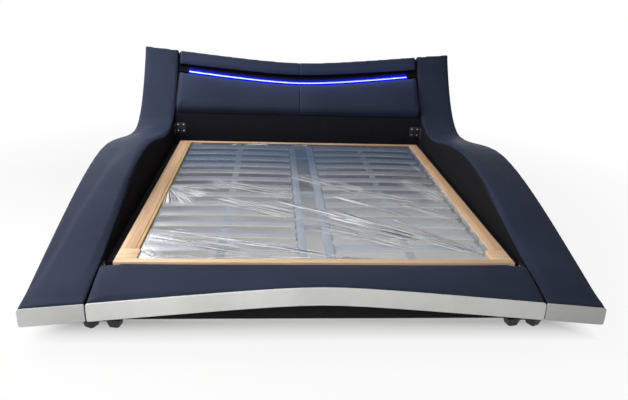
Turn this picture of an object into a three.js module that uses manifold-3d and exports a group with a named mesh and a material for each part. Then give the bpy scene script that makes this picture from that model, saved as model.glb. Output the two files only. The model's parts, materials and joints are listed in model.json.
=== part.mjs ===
// A wave-sided leather bed with a lit, reclined headboard and a lift-out sprung slat base.
// Millimetres, +Z up, +Y towards the head, +X to the right seen from the foot end.
// Every piece is laid out with y = 0 at the foot edge of the slat base and z = 0 on the floor;
// the whole bed is then moved so that the origin lies under the centre of its outline.

import * as THREE from "three";
import { mergeVertices } from "three/addons/utils/BufferGeometryUtils.js";
import Module from "manifold-3d";

const wasm = await Module();
wasm.setup();

// Clearances
const seatGap = 0.3;
const liftGap = 3;
const cutOverrun = 5;
const weldOverlap = 1;

// Wooden frame of the slat base
const slatBaseWidth = 1800;
const slatBaseLength = 2000;
const slatBaseTop = 265;
const railDepth = 50;
const sideRailWidth = 68;
const endRailWidth = 38;
const cornerBlockWidth = 94;
const cornerBlockLength = 98;

// Slats, their pockets and the belts that tie them
const slatWidth = 63;
const slatThickness = 10;
const slatCamber = 6;
const slatPitch = 143.5;
const firstSlatY = 190;
const slatHeadMargin = 15;
const slatEndDrop = 21;
const pocketDepth = 14;
const pocketPlay = 0.5;
const holderWidth = 22;
const holderHeight = 26;
const holderWall = 8;
const holderStripHeight = 6;
const beltWidth = 40;
const beltThickness = 2;
const slatSteps = 6;

// Steel centre frame
const centreRailWidth = 38;
const centreRailGapWidth = 90;
const centreRailHeight = 34;
const centreRailDrop = 11;
const crossTubeHeight = 25;
const crossTubeDrop = 3;
const crossTubeShares = [0.2348, 0.4688];
const braceWidth = 14;
const braceThickness = 6;
const braceShare = 0.818;

// Protective film over the slats
const filmThickness = 0.6;

// Side wave: height of the wings' outer top edge along the bed
const footOverhang = 236;
const waveFootHeight = 169;
const waveFootAngle = THREE.MathUtils.degToRad(15.4);
const waveFootHandle = 413;
const waveCrestY = 1132;
const waveCrestHeight = 464;
const waveCrestFootHandle = 384;
const waveCrestHeadHandle = 266;
const waveTroughAhead = 243;
const waveTroughHeight = 357;
const waveTroughFootHandle = 252;
const waveTroughHeadHandle = 235;
const waveHeadReach = 345;
const waveHeadHeight = 892;
const waveHeadAngle = THREE.MathUtils.degToRad(61.1);
const waveHeadHandle = 310;

// Wings
const wingClearance = 62;
const wingWidth = 266;
const wingCrown = 5;
const wingOuterRadius = 12;
const wingInnerRadiusEnds = 12;
const wingInnerRadiusMiddle = 42;
const wingTipThickness = 70;
const wingRearReach = 235;
const wingRearHandleLow = 350;
const wingRearHandleHigh = 250;
const wingTwistLength = 436;
const wingUnderTwistLength = 120;
const wingFootStations = 18;
const wingHeadStations = 10;
const wingRearCornerShare = 0.4;
const wingTopShares = [0.25, 0.5, 0.75];
const outerCornerSteps = 3;
const innerCornerSteps = 5;

// Arch of the foot edge and dip of the head edge, seen from the front
const footArchSlope = 0.0958;
const footArchSoftness = 200;
const headDipSlope = 0.09;
const headDipSoftness = 250;

// Pale end band, footboard and plinth
const bandHeight = 82;
const bandThickness = 8;
const bandCrown = 1.5;
const bandEdgeRadius = 2;
const footboardEndGap = 6;
const footboardDrop = 2;
const footboardEndDip = 12;
const footboardEndDipLength = 96;
const footboardCrown = 5;
const footboardEdgeRadius = 8;
const footboardTopShares = [0.12, 0.35, 0.6, 0.85];
const plinthSetback = 131;
const plinthDepth = 70;
const plinthEndReach = 68;

// Headboard
const headClearance = 185;
const headBendSetback = 5;
const headBendHeight = 520;
const headBendAngle = THREE.MathUtils.degToRad(38);
const headBendHandle = 170;
const headTopHandle = 200;
const headboardEndGap = 12;
const padThickness = 36;
const padProud = 4;
const padCrown = 11;
const padEdgeRadius = 14;
const padEndRadius = 12;
const padSeamDepth = 5;
const padSeamHalfWidth = 9;
const padRollRadius = 60;
const padRollUnder = THREE.MathUtils.degToRad(40);
const padRollSteps = 6;
const upperPadLength = 114;
const lightSlotLength = 68;
const lightSlotSag = 18;
const padBottomDrop = 90;
const frameTopDrop = 4;
const frameBackInset = 6;
const frameBackSteps = 6;
const upperPadShares = [0.3, 0.7];
const lowerPadShares = [0.15, 0.4, 0.65, 0.88];
const sillDepth = 150;
const sillSetback = 30;
const glandRadius = 8;
const glandLength = 14;
const glandX = 640;
const glandHeight = 300;
const glandSides = 12;
const halvings = 30;

// Light in the headboard
const channelWall = 3;
const channelRecess = 3;
const lightBarInset = 79;
const lightBarHeight = 14;
const lightBarDepth = 16;
const lightBarRecess = 3;

// Ledgers, brackets, bolts and feet
const ledgerThickness = 30;
const ledgerBearing = 22;
const ledgerEndInset = 100;
const bracketThickness = 4;
const headBracketSize = 80;
const headBracketHeight = 84;
const headBracketLift = 10;
const footBracketLength = 90;
const footBracketHeight = 58;
const footBracketDrop = 35;
const bracketSideGap = 5;
const boltHeadRadius = 7;
const boltHeadHeight = 5;
const boltSides = 8;
const boltInset = 18;
const floorClearance = 43;
const footPlateThickness = 4;
const footTopWidth = 66;
const footBottomWidth = 46;
const footCornerCut = 7;
const footSpacing = 102;
const outerFootInset = 40;
const footForward = 12;
const footTurns = [28, 12];

// Crossing stations of the lofted pieces, as shares of the half width
const loftShares = [0.09, 0.2, 0.32, 0.44, 0.56, 0.68, 0.8, 0.9];

// Colours
const leatherColour = 0x232830;
const paleLeatherColour = 0xc9c8c4;
const boardColour = 0x14151a;
const woodColour = 0xd8b48c;
const slatColour = 0xb9b8b2;
const steelColour = 0x98a6bd;
const darkSteelColour = 0x2b2c30;
const plasticColour = 0x24251f;
const webbingColour = 0x9fb0c8;
const lightColour = 0x4a6cff;
const filmColour = 0xdfe6ee;

// Sizes that follow from the ones above
const headFaceY = slatBaseLength + headClearance;
const headBendY = headFaceY + headBendSetback;
const waveTroughY = headFaceY - waveTroughAhead;
const waveHeadY = headFaceY + waveHeadReach;
const wingRearBottomY = headFaceY + wingRearReach;
const wingInnerX = slatBaseWidth / 2 + wingClearance;
const wingOuterX = wingInnerX + wingWidth;
const wingBottom = waveFootHeight - bandHeight;
const slatTop = slatBaseTop - slatEndDrop;
const centreRailTop = slatBaseTop - centreRailDrop;
const centreRailOuterX = centreRailGapWidth / 2 + centreRailWidth;
const sideRailInnerX = slatBaseWidth / 2 - sideRailWidth;
const holderInnerX = sideRailInnerX - seatGap - holderWidth;
const filmBottom = Math.max(centreRailTop, slatTop + slatCamber) + seatGap;
const slatSpan = slatBaseLength - endRailWidth - slatHeadMargin - slatWidth / 2 - firstSlatY;
const slatRows = Math.floor(slatSpan / slatPitch) + 1;
const footboardHalf = wingInnerX - footboardEndGap;
const headboardHalf = wingInnerX - headboardEndGap;
const plinthHalf = wingInnerX + plinthEndReach;
const slatBaseBottom = slatBaseTop - railDepth;

// Turns a closed three.js geometry into a solid for joining and cutting
function solid(geometry) {
  const bare = geometry.clone();
  bare.deleteAttribute("normal");
  bare.deleteAttribute("uv");
  const merged = mergeVertices(bare);
  return new wasm.Manifold(new wasm.Mesh({
    numProp: 3,
    vertProperties: new Float32Array(merged.attributes.position.array),
    triVerts: new Uint32Array(merged.index.array),
  }));
}

function geometryOf(body) {
  const mesh = body.getMesh();
  const geometry = new THREE.BufferGeometry();
  geometry.setAttribute("position", new THREE.BufferAttribute(mesh.vertProperties, 3));
  geometry.setIndex(new THREE.BufferAttribute(mesh.triVerts, 1));
  geometry.computeVertexNormals();
  return geometry;
}

// Six times the signed volume, to tell a loft that came out inside out
function signedVolume(points, triangles) {
  let sum = 0;
  for (const [a, b, c] of triangles) {
    sum += points[a].dot(new THREE.Vector3().crossVectors(points[b], points[c]));
  }
  return sum;
}

// Skins a row of closed rings of equal count; flat gives the ring in two dimensions for the end caps
function loft(rings, flat) {
  const count = flat.length;
  const points = rings.flat();
  const triangles = [];
  for (let ring = 0; ring < rings.length - 1; ring += 1) {
    for (let i = 0; i < count; i += 1) {
      const a = ring * count + i;
      const b = ring * count + (i + 1) % count;
      triangles.push([a, b, b + count], [a, b + count, a + count]);
    }
  }
  const last = (rings.length - 1) * count;
  for (const [a, b, c] of THREE.ShapeUtils.triangulateShape(flat, [])) {
    triangles.push([a, c, b], [last + a, last + b, last + c]);
  }
  const clockwise = THREE.ShapeUtils.isClockWise(flat);
  const capped = clockwise ? capsFlipped(triangles, (rings.length - 1) * count * 2) : triangles;
  const outward = signedVolume(points, capped) > 0;
  const geometry = new THREE.BufferGeometry();
  geometry.setFromPoints(points);
  geometry.setIndex(capped.flatMap(([a, b, c]) => (outward ? [a, b, c] : [a, c, b])));
  geometry.computeVertexNormals();
  return geometry;
}

function capsFlipped(triangles, firstCap) {
  return triangles.map(([a, b, c], i) => (i < firstCap ? [a, b, c] : [a, c, b]));
}

// A box given by its lowest and highest corners
function box(low, high) {
  const size = high.map((value, i) => value - low[i]);
  const middle = high.map((value, i) => (value + low[i]) / 2);
  return new THREE.BoxGeometry(...size).translate(...middle);
}

function material(color, roughness, metalness) {
  return new THREE.MeshStandardMaterial({ color, roughness, metalness });
}

const leather = material(leatherColour, 0.45, 0);
const paleLeather = material(paleLeatherColour, 0.5, 0);
const board = material(boardColour, 0.8, 0);
const wood = material(woodColour, 0.6, 0);
const slatWood = material(slatColour, 0.5, 0);
const steel = material(steelColour, 0.45, 0.6);
const darkSteel = material(darkSteelColour, 0.4, 0.7);
const plastic = material(plasticColour, 0.6, 0);
const webbing = material(webbingColour, 0.8, 0);
const light = material(lightColour, 0.3, 0);
const film = material(filmColour, 0.1, 0);

const bed = new THREE.Group();

function piece(name, geometry, finish) {
  const mesh = new THREE.Mesh(geometry, finish);
  mesh.name = name;
  bed.add(mesh);
}

// The side wave as one smooth line of three arcs, from the foot to the head
function waveLine() {
  const foot = new THREE.Vector2(-footOverhang, waveFootHeight);
  const crest = new THREE.Vector2(waveCrestY, waveCrestHeight);
  const trough = new THREE.Vector2(waveTroughY, waveTroughHeight);
  const head = new THREE.Vector2(waveHeadY, waveHeadHeight);
  const along = (point, angle, length) => new THREE.Vector2(
    point.x + length * Math.cos(angle),
    point.y + length * Math.sin(angle),
  );
  const line = new THREE.CurvePath();
  line.add(new THREE.CubicBezierCurve(
    foot, along(foot, waveFootAngle, waveFootHandle), along(crest, 0, -waveCrestFootHandle), crest,
  ));
  line.add(new THREE.CubicBezierCurve(
    crest, along(crest, 0, waveCrestHeadHandle), along(trough, 0, -waveTroughFootHandle), trough,
  ));
  line.add(new THREE.CubicBezierCurve(
    trough, along(trough, 0, waveTroughHeadHandle), along(head, waveHeadAngle, -waveHeadHandle), head,
  ));
  return line;
}

const wave = waveLine();
const waveLengths = wave.getCurveLengths();
const waveLength = waveLengths.at(-1);
const troughShare = waveLengths[1] / waveLength;

// Top rear corner of the wings, square to the front surface at the head end
const headRear = new THREE.Vector2(
  waveHeadY + wingTipThickness * Math.sin(waveHeadAngle),
  waveHeadHeight - wingTipThickness * Math.cos(waveHeadAngle),
);

const rearLine = new THREE.CubicBezierCurve(
  new THREE.Vector2(wingRearBottomY, wingBottom),
  new THREE.Vector2(wingRearBottomY, wingBottom + wingRearHandleLow),
  new THREE.Vector2(
    headRear.x - wingRearHandleHigh * Math.cos(waveHeadAngle),
    headRear.y - wingRearHandleHigh * Math.sin(waveHeadAngle),
  ),
  headRear,
);

const originY = (headRear.x - footOverhang - bandCrown) / 2;

function smooth(value) {
  const t = THREE.MathUtils.clamp(value, 0, 1);
  return t * t * (3 - 2 * t);
}

// Height that the foot edge gains towards the middle, measured from its outer end
function footRise(x) {
  return footArchSlope * (Math.hypot(wingOuterX, footArchSoftness) - Math.hypot(x, footArchSoftness));
}

// Distance that the head edge is drawn down the slope towards the middle
function headDip(x) {
  const drop = headDipSlope * (Math.hypot(wingOuterX, headDipSoftness) - Math.hypot(x, headDipSoftness));
  return drop / Math.sin(waveHeadAngle);
}

function footEdge(x) {
  return waveFootHeight + footRise(x);
}

// Point of the wing's underside or back that faces the point of the wave at the same share
function underPoint(share) {
  if (share <= troughShare) {
    return new THREE.Vector2(wave.getPointAt(share).x, wingBottom);
  }
  const headShare = (share - troughShare) / (1 - troughShare);
  if (headShare <= wingRearCornerShare) {
    const run = headShare / wingRearCornerShare;
    return new THREE.Vector2(THREE.MathUtils.lerp(waveTroughY, wingRearBottomY, run), wingBottom);
  }
  return rearLine.getPointAt((headShare - wingRearCornerShare) / (1 - wingRearCornerShare));
}

function innerRadius(y) {
  const run = THREE.MathUtils.clamp(y / headFaceY, 0, 1);
  const swell = Math.sin(Math.PI * run) ** 2;
  return THREE.MathUtils.lerp(wingInnerRadiusEnds, wingInnerRadiusMiddle, swell);
}

// Cross-section of a wing as pairs of x and depth below its top surface
function wingSection(radius) {
  const pairs = [];
  for (let i = 0; i <= outerCornerSteps; i += 1) {
    const angle = (i / outerCornerSteps) * Math.PI / 2;
    pairs.push([
      wingOuterX - wingOuterRadius * (1 - Math.cos(angle)),
      wingOuterRadius * (1 - Math.sin(angle)),
    ]);
  }
  const flatWidth = wingWidth - wingOuterRadius - radius;
  for (const share of wingTopShares) {
    const crown = wingCrown * Math.sin(Math.PI * share);
    pairs.push([wingOuterX - wingOuterRadius - flatWidth * share, -crown]);
  }
  for (let i = 0; i <= innerCornerSteps; i += 1) {
    const angle = (i / innerCornerSteps) * Math.PI / 2;
    pairs.push([wingInnerX + radius * (1 - Math.sin(angle)), radius * (1 - Math.cos(angle))]);
  }
  return pairs;
}

// One point of a wing, at its share along the wave, its x and its depth below the top
function wingPoint(share, x, depth, side) {
  const headRun = Math.max(0, (share - troughShare) / (1 - troughShare));
  const at = share - headRun * headDip(x) / waveLength;
  const top = wave.getPointAt(at);
  const under = underPoint(at);
  const fromFoot = top.x + footOverhang;
  top.y += footRise(x) * (1 - smooth(fromFoot / wingTwistLength));
  under.y += footRise(x) * (1 - smooth(fromFoot / wingUnderTwistLength));
  const across = top.distanceTo(under);
  const run = depth === null ? 1 : depth / across;
  return new THREE.Vector3(
    side * x,
    THREE.MathUtils.lerp(top.x, under.x, run),
    THREE.MathUtils.lerp(top.y, under.y, run),
  );
}

function wingStations() {
  const start = (bandThickness + seatGap) / Math.cos(waveFootAngle) / waveLength;
  const stations = [];
  for (let i = 0; i < wingFootStations; i += 1) {
    stations.push(THREE.MathUtils.lerp(start, troughShare, i / wingFootStations));
  }
  for (let i = 0; i <= wingHeadStations; i += 1) {
    stations.push(THREE.MathUtils.lerp(troughShare, 1, i / wingHeadStations));
  }
  return stations;
}

function wing(name, side) {
  const rings = wingStations().map((share) => {
    const section = wingSection(innerRadius(wave.getPointAt(share).x));
    return [
      wingPoint(share, wingOuterX, null, side),
      ...section.map(([x, depth]) => wingPoint(share, x, depth, side)),
      wingPoint(share, wingInnerX, null, side),
    ];
  });
  const flat = [
    new THREE.Vector2(wingOuterX, -wingTipThickness),
    ...wingSection(wingInnerRadiusEnds).map(([x, depth]) => new THREE.Vector2(x, -depth)),
    new THREE.Vector2(wingInnerX, -wingTipThickness),
  ];
  piece(name, loft(rings, flat), leather);
}

// The pale band's section at one x: a thin upright panel with soft edges and a slight crown
function bandRing(x, side) {
  const top = footEdge(x) - seatGap;
  const low = footEdge(x) - bandHeight;
  const front = -footOverhang;
  const back = front + bandThickness;
  const outline = [
    [back, low], [back, top], [front + bandEdgeRadius, top], [front, top - bandEdgeRadius],
    [front - bandCrown, (top + low) / 2], [front, low + bandEdgeRadius], [front + bandEdgeRadius, low],
  ];
  return outline.map(([y, z]) => new THREE.Vector3(side * x, y, z));
}

function band(name, xs, side) {
  const rings = xs.map((x) => bandRing(x, side));
  piece(name, loft(rings, rings[0].map((point) => new THREE.Vector2(point.y, point.z))), paleLeather);
}

// Stations across a piece that is alike on both sides, close together at its ends
function crossStations(half, endRadius, seam) {
  const right = seam ? [padSeamHalfWidth / 3, padSeamHalfWidth] : [];
  right.push(...loftShares.map((share) => share * half));
  right.push(half - endRadius, half - endRadius / 4, half);
  return [...right.map((x) => -x).reverse(), 0, ...right];
}

// How far a padded surface is drawn in near its ends
function endDraw(x, half, radius) {
  const inside = half - Math.abs(x);
  if (inside >= radius) {
    return 0;
  }
  return radius - Math.sqrt(radius * radius - (radius - inside) ** 2);
}

function rearEdge(x) {
  const run = Math.max(0, (Math.abs(x) - footboardHalf + footboardEndDipLength) / footboardEndDipLength);
  return slatBaseTop - footboardDrop - footboardEndDip * run * run;
}

function footboardRing(x) {
  const front = -footOverhang + bandThickness + seatGap;
  const back = -liftGap;
  const low = footEdge(x) - bandHeight;
  const draw = endDraw(x, footboardHalf, footboardEdgeRadius);
  const height = (share) => THREE.MathUtils.lerp(footEdge(x), rearEdge(x), share)
    + footboardCrown * Math.sin(Math.PI * share) - draw;
  const outline = [
    [back, low],
    [front, low],
    [front, height(0)],
    ...footboardTopShares.map((share) => [THREE.MathUtils.lerp(front, back, share), height(share)]),
    [back - footboardEdgeRadius / 3, height(1)],
    [back, height(1) - footboardEdgeRadius],
  ];
  return outline.map(([y, z]) => new THREE.Vector3(x, y, z));
}

function footboard() {
  const xs = crossStations(footboardHalf, footboardEdgeRadius, false);
  const rings = xs.map(footboardRing);
  const flat = rings[0].map((point) => new THREE.Vector2(point.y, point.z));
  piece("footboard", loft(rings, flat), leather);
  band("foot_band", xs, 1);
}

function wingBands() {
  const xs = [wingInnerX, (wingInnerX + wingOuterX) / 2, wingOuterX - wingOuterRadius, wingOuterX];
  band("left_end_band", xs, -1);
  band("right_end_band", xs, 1);
}

// Recessed front plinth, carrying the footboard and the wings' front corners
function plinth() {
  const outline = new THREE.Shape();
  const shoulder = wingBottom - seatGap;
  outline.moveTo(-plinthHalf, floorClearance);
  outline.lineTo(plinthHalf, floorClearance);
  outline.lineTo(plinthHalf, shoulder);
  outline.lineTo(footboardHalf, shoulder);
  for (const x of crossStations(footboardHalf, footboardEdgeRadius, false).reverse()) {
    outline.lineTo(x, footEdge(x) - bandHeight - seatGap);
  }
  outline.lineTo(-footboardHalf, shoulder);
  outline.lineTo(-plinthHalf, shoulder);
  const geometry = new THREE.ExtrudeGeometry(outline, { depth: plinthDepth, bevelEnabled: false });
  geometry.rotateX(Math.PI / 2);
  geometry.translate(0, plinthSetback - footOverhang + plinthDepth, 0);
  piece("plinth", geometry, board);
}

// Front line of the headboard pads, from the head edge down to the bend
function headLine() {
  const top = new THREE.Vector2(
    waveHeadY - padProud * Math.sin(waveHeadAngle),
    waveHeadHeight + padProud * Math.cos(waveHeadAngle),
  );
  const bend = new THREE.Vector2(headBendY, headBendHeight);
  return new THREE.CubicBezierCurve(
    top,
    new THREE.Vector2(
      top.x - headTopHandle * Math.cos(waveHeadAngle),
      top.y - headTopHandle * Math.sin(waveHeadAngle),
    ),
    new THREE.Vector2(
      bend.x + headBendHandle * Math.cos(headBendAngle),
      bend.y + headBendHandle * Math.sin(headBendAngle),
    ),
    bend,
  );
}

const headFront = headLine();
const headFrontLength = headFront.getLength();

// A point of the headboard, by its distance down the front line and its depth behind it
function headPoint(distance, depth) {
  const share = THREE.MathUtils.clamp(distance / headFrontLength, 0, 1);
  const point = headFront.getPointAt(share);
  const down = headFront.getTangentAt(share);
  return [point.x - down.y * depth, point.y + down.x * depth];
}

// Distance down the head's front line at which the light slot ends; it is taller in the middle
function slotEnd(x) {
  const sag = lightSlotSag * (1 - (x / headboardHalf) ** 2);
  return headDip(x) + upperPadLength + lightSlotLength + sag;
}

function seamDip(x) {
  return padSeamDepth * Math.max(0, 1 - Math.abs(x) / padSeamHalfWidth);
}

function padDraw(x) {
  return endDraw(x, headboardHalf, padEndRadius) + seamDip(x);
}

function upperPadRing(x) {
  const start = headDip(x);
  const end = start + upperPadLength;
  const draw = padDraw(x);
  const along = (share) => THREE.MathUtils.lerp(start, end, share);
  const crown = (share) => draw - padCrown * Math.sin(Math.PI * share) * (1 - draw / padThickness);
  const outline = [
    headPoint(start, padThickness),
    headPoint(start, padEdgeRadius + draw),
    headPoint(start + padEdgeRadius / 4, padEdgeRadius / 3 + draw),
    headPoint(start + padEdgeRadius, draw),
    ...upperPadShares.map((share) => headPoint(along(share), crown(share))),
    headPoint(end - padEdgeRadius, draw),
    headPoint(end - padEdgeRadius / 4, padEdgeRadius / 3 + draw),
    headPoint(end, padEdgeRadius + draw),
    headPoint(end, padThickness),
    headPoint(along(0.5), padThickness),
  ];
  return outline.map(([y, z]) => new THREE.Vector3(x, y, z));
}

// The lower pad rolls over the bend and curls under, in front of the upright face
function lowerPadRing(x) {
  const start = slotEnd(x);
  const end = headFrontLength;
  const draw = padDraw(x);
  const along = (share) => THREE.MathUtils.lerp(start, end, share);
  const crown = (share) => draw - padCrown * Math.sin(Math.PI * share) * (1 - draw / padThickness);
  const [centreY, centreZ] = headPoint(end, padRollRadius);
  const turn = Math.PI / 2 - headBendAngle + padRollUnder;
  const roll = [];
  for (let i = 1; i <= padRollSteps; i += 1) {
    const angle = Math.PI / 2 + headBendAngle + (i / padRollSteps) * turn;
    const radius = padRollRadius - draw;
    roll.push([centreY + radius * Math.cos(angle), centreZ + radius * Math.sin(angle)]);
  }
  const low = headBendHeight - padBottomDrop;
  const outline = [
    headPoint(start, padThickness),
    headPoint(start, padEdgeRadius + draw),
    headPoint(start + padEdgeRadius / 4, padEdgeRadius / 3 + draw),
    headPoint(start + padEdgeRadius, draw),
    ...lowerPadShares.map((share) => headPoint(along(share), crown(share))),
    headPoint(end, draw),
    ...roll,
    [roll.at(-1)[0] + padEdgeRadius / 3, low],
    [headPoint(end, padThickness)[0], low],
    headPoint(end, padThickness),
    ...[...lowerPadShares].reverse().map((share) => headPoint(along(share), padThickness)),
  ];
  return outline.map(([y, z]) => new THREE.Vector3(x, y, z));
}

// Distances down the front line at which the pads' backs and the carcass behind them turn
function headBackDistances(x) {
  const upperStart = headDip(x);
  const upperEnd = upperStart + upperPadLength;
  const lowerStart = slotEnd(x);
  const lower = lowerPadShares.map((share) => THREE.MathUtils.lerp(lowerStart, headFrontLength, share));
  return [
    headFrontLength, ...lower.reverse(), lowerStart, upperEnd,
    (upperStart + upperEnd) / 2, upperStart + frameTopDrop,
  ];
}

function frameRing(x) {
  const depth = padThickness + seatGap;
  const low = headBendHeight - padBottomDrop - seatGap;
  const front = headBackDistances(x).map((distance) => headPoint(distance, depth));
  const topShare = 1 - (headDip(x) + frameTopDrop) / rearLine.getLength();
  const back = [];
  for (let i = 0; i <= frameBackSteps; i += 1) {
    const point = rearLine.getPointAt(topShare * (1 - i / frameBackSteps));
    back.push([point.x - frameBackInset, point.y]);
  }
  const outline = [
    [headFaceY, floorClearance],
    [headFaceY, low],
    [front[0][0], low],
    ...front,
    ...back,
    [wingRearBottomY - frameBackInset, floorClearance],
  ];
  return outline.map(([y, z]) => new THREE.Vector3(x, y, z));
}

// Headboard carcass, with the sill that carries the wings' rear corners and the lead gland
function headboardFrame() {
  const rings = crossStations(headboardHalf, padEndRadius, true).map(frameRing);
  const panel = solid(loft(rings, rings[0].map((point) => new THREE.Vector2(point.y, point.z))));
  const sillFront = headFaceY + sillSetback;
  const sill = solid(box(
    [-plinthHalf, sillFront, floorClearance],
    [plinthHalf, sillFront + sillDepth, wingBottom - seatGap],
  ));
  const gland = new THREE.CylinderGeometry(glandRadius, glandRadius, glandLength + weldOverlap, glandSides);
  const rear = rearPointAtHeight(glandHeight);
  gland.translate(-glandX, rear - frameBackInset + (glandLength - weldOverlap) / 2, glandHeight);
  piece("headboard_frame", geometryOf(panel.add(sill).add(solid(gland))), board);
}

// The rear line's y at a height, found by halving
function rearPointAtHeight(height) {
  let low = 0;
  let high = 1;
  for (let i = 0; i < halvings; i += 1) {
    const middle = (low + high) / 2;
    if (rearLine.getPoint(middle).y < height) {
      low = middle;
    } else {
      high = middle;
    }
  }
  return rearLine.getPoint(low).x;
}

function headboardPads() {
  const xs = crossStations(headboardHalf, padEndRadius, true);
  const pads = [["headboard_upper_pad", upperPadRing], ["headboard_lower_pad", lowerPadRing]];
  for (const [name, ringAt] of pads) {
    const rings = xs.map(ringAt);
    const flat = rings[0].map((point) => new THREE.Vector2(point.y, point.z));
    piece(name, loft(rings, flat), leather);
  }
}

// Dark trough between the pads, and the light bar along its lower wall
function headboardLight() {
  const channelRing = (x) => {
    const start = headDip(x) + upperPadLength + seatGap;
    const end = slotEnd(x) - seatGap;
    const outline = [
      headPoint(start, channelRecess),
      headPoint(start + channelWall, channelRecess),
      headPoint(start + channelWall, padThickness - channelWall),
      headPoint(end - channelWall, padThickness - channelWall),
      headPoint(end - channelWall, channelRecess),
      headPoint(end, channelRecess),
      headPoint(end, padThickness),
      headPoint(start, padThickness),
    ];
    return outline.map(([y, z]) => new THREE.Vector3(x, y, z));
  };
  const barRing = (x) => {
    const end = slotEnd(x) - channelWall - 2 * seatGap;
    const front = channelRecess + lightBarRecess;
    const outline = [
      headPoint(end - lightBarHeight, front),
      headPoint(end, front),
      headPoint(end, front + lightBarDepth),
      headPoint(end - lightBarHeight, front + lightBarDepth),
    ];
    return outline.map(([y, z]) => new THREE.Vector3(x, y, z));
  };
  const sweep = (name, ringAt, half, finish) => {
    const xs = crossStations(headboardHalf, padEndRadius, true).filter((x) => Math.abs(x) < half);
    const rings = [-half, ...xs, half].map(ringAt);
    const flat = rings[0].map((point) => new THREE.Vector2(point.y, point.z));
    piece(name, loft(rings, flat), finish);
  };
  sweep("light_channel", channelRing, headboardHalf, board);
  sweep("light_bar", barRing, headboardHalf - lightBarInset, light);
}

// Wooden rails and corner blocks of the slat base
function slatBaseFrame() {
  const half = slatBaseWidth / 2;
  const inner = slatBaseLength - endRailWidth;
  const blockEnd = endRailWidth + seatGap + cornerBlockLength;
  piece("foot_rail", box([-half, 0, slatBaseBottom], [half, endRailWidth, slatBaseTop]), wood);
  piece("head_rail", box([-half, inner, slatBaseBottom], [half, slatBaseLength, slatBaseTop]), wood);
  for (const [word, side] of [["left", -1], ["right", 1]]) {
    const ends = (near, far) => (side > 0 ? [near, far] : [-far, -near]);
    const [railLow, railHigh] = ends(sideRailInnerX, half);
    const [blockLow, blockHigh] = ends(half - cornerBlockWidth, half);
    piece(`${word}_rail`, box(
      [railLow, blockEnd + seatGap, slatBaseBottom], [railHigh, inner - seatGap, slatBaseTop],
    ), wood);
    piece(`${word}_corner_block`, box(
      [blockLow, endRailWidth + seatGap, slatBaseBottom], [blockHigh, blockEnd, slatBaseTop],
    ), wood);
  }
}

function slatCentre(row) {
  return firstSlatY + row * slatPitch;
}

// Height that the slats' top gains at x, with level ends in the pockets
function camberAt(x, start, end) {
  const run = THREE.MathUtils.clamp((x - start) / (end - start), 0, 1);
  return slatCamber * (1 - (2 * run - 1) ** 2);
}

const slatStart = centreRailOuterX - pocketDepth + pocketPlay;
const slatEnd = holderInnerX + pocketDepth - pocketPlay;

function slatRing(x, y, side) {
  const top = slatTop + camberAt(x, centreRailOuterX, holderInnerX);
  const low = top - slatThickness;
  const half = slatWidth / 2;
  return [
    new THREE.Vector3(side * x, y - half, low),
    new THREE.Vector3(side * x, y + half, low),
    new THREE.Vector3(side * x, y + half, top),
    new THREE.Vector3(side * x, y - half, top),
  ];
}

function slats() {
  const xs = [slatStart];
  for (let i = 0; i <= slatSteps; i += 1) {
    xs.push(THREE.MathUtils.lerp(centreRailOuterX, holderInnerX, i / slatSteps));
  }
  xs.push(slatEnd);
  for (const [word, side] of [["left", -1], ["right", 1]]) {
    for (let row = 0; row < slatRows; row += 1) {
      const rings = xs.map((x) => slatRing(x, slatCentre(row), side));
      const flat = rings[0].map((point) => new THREE.Vector2(point.y, point.z));
      piece(`${word}_slat_${row + 1}`, loft(rings, flat), slatWood);
    }
  }
}

// Cutters for the pockets that hold the slats' ends, from one x to another
function pocketCutters(near, far) {
  const low = Math.min(near, far);
  const high = Math.max(near, far);
  const cutters = [];
  for (let row = 0; row < slatRows; row += 1) {
    const half = slatWidth / 2 + pocketPlay;
    cutters.push(solid(box(
      [low, slatCentre(row) - half, slatTop - slatThickness - pocketPlay],
      [high, slatCentre(row) + half, slatTop + pocketPlay],
    )));
  }
  return cutters;
}

// Low strips along the side rails with a raised holder at each slat
function slatHolders() {
  const start = endRailWidth + cornerBlockLength + 2 * seatGap;
  const end = slatBaseLength - endRailWidth - seatGap;
  const low = slatTop - slatThickness / 2 - holderHeight / 2;
  const half = slatWidth / 2 + holderWall;
  for (const [word, side] of [["left", -1], ["right", 1]]) {
    const xs = [side * holderInnerX, side * (holderInnerX + holderWidth)];
    const near = Math.min(...xs);
    const high = Math.max(...xs);
    let strip = solid(box([near, start, low], [high, end, low + holderStripHeight]));
    for (let row = 0; row < slatRows; row += 1) {
      const y = slatCentre(row);
      strip = strip.add(solid(box([near, y - half, low], [high, y + half, low + holderHeight])));
    }
    const far = side * (holderInnerX + pocketDepth);
    for (const cutter of pocketCutters(side * (holderInnerX - cutOverrun), far)) {
      strip = strip.subtract(cutter);
    }
    piece(`${word}_slat_holder`, geometryOf(strip), plastic);
  }
}

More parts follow.
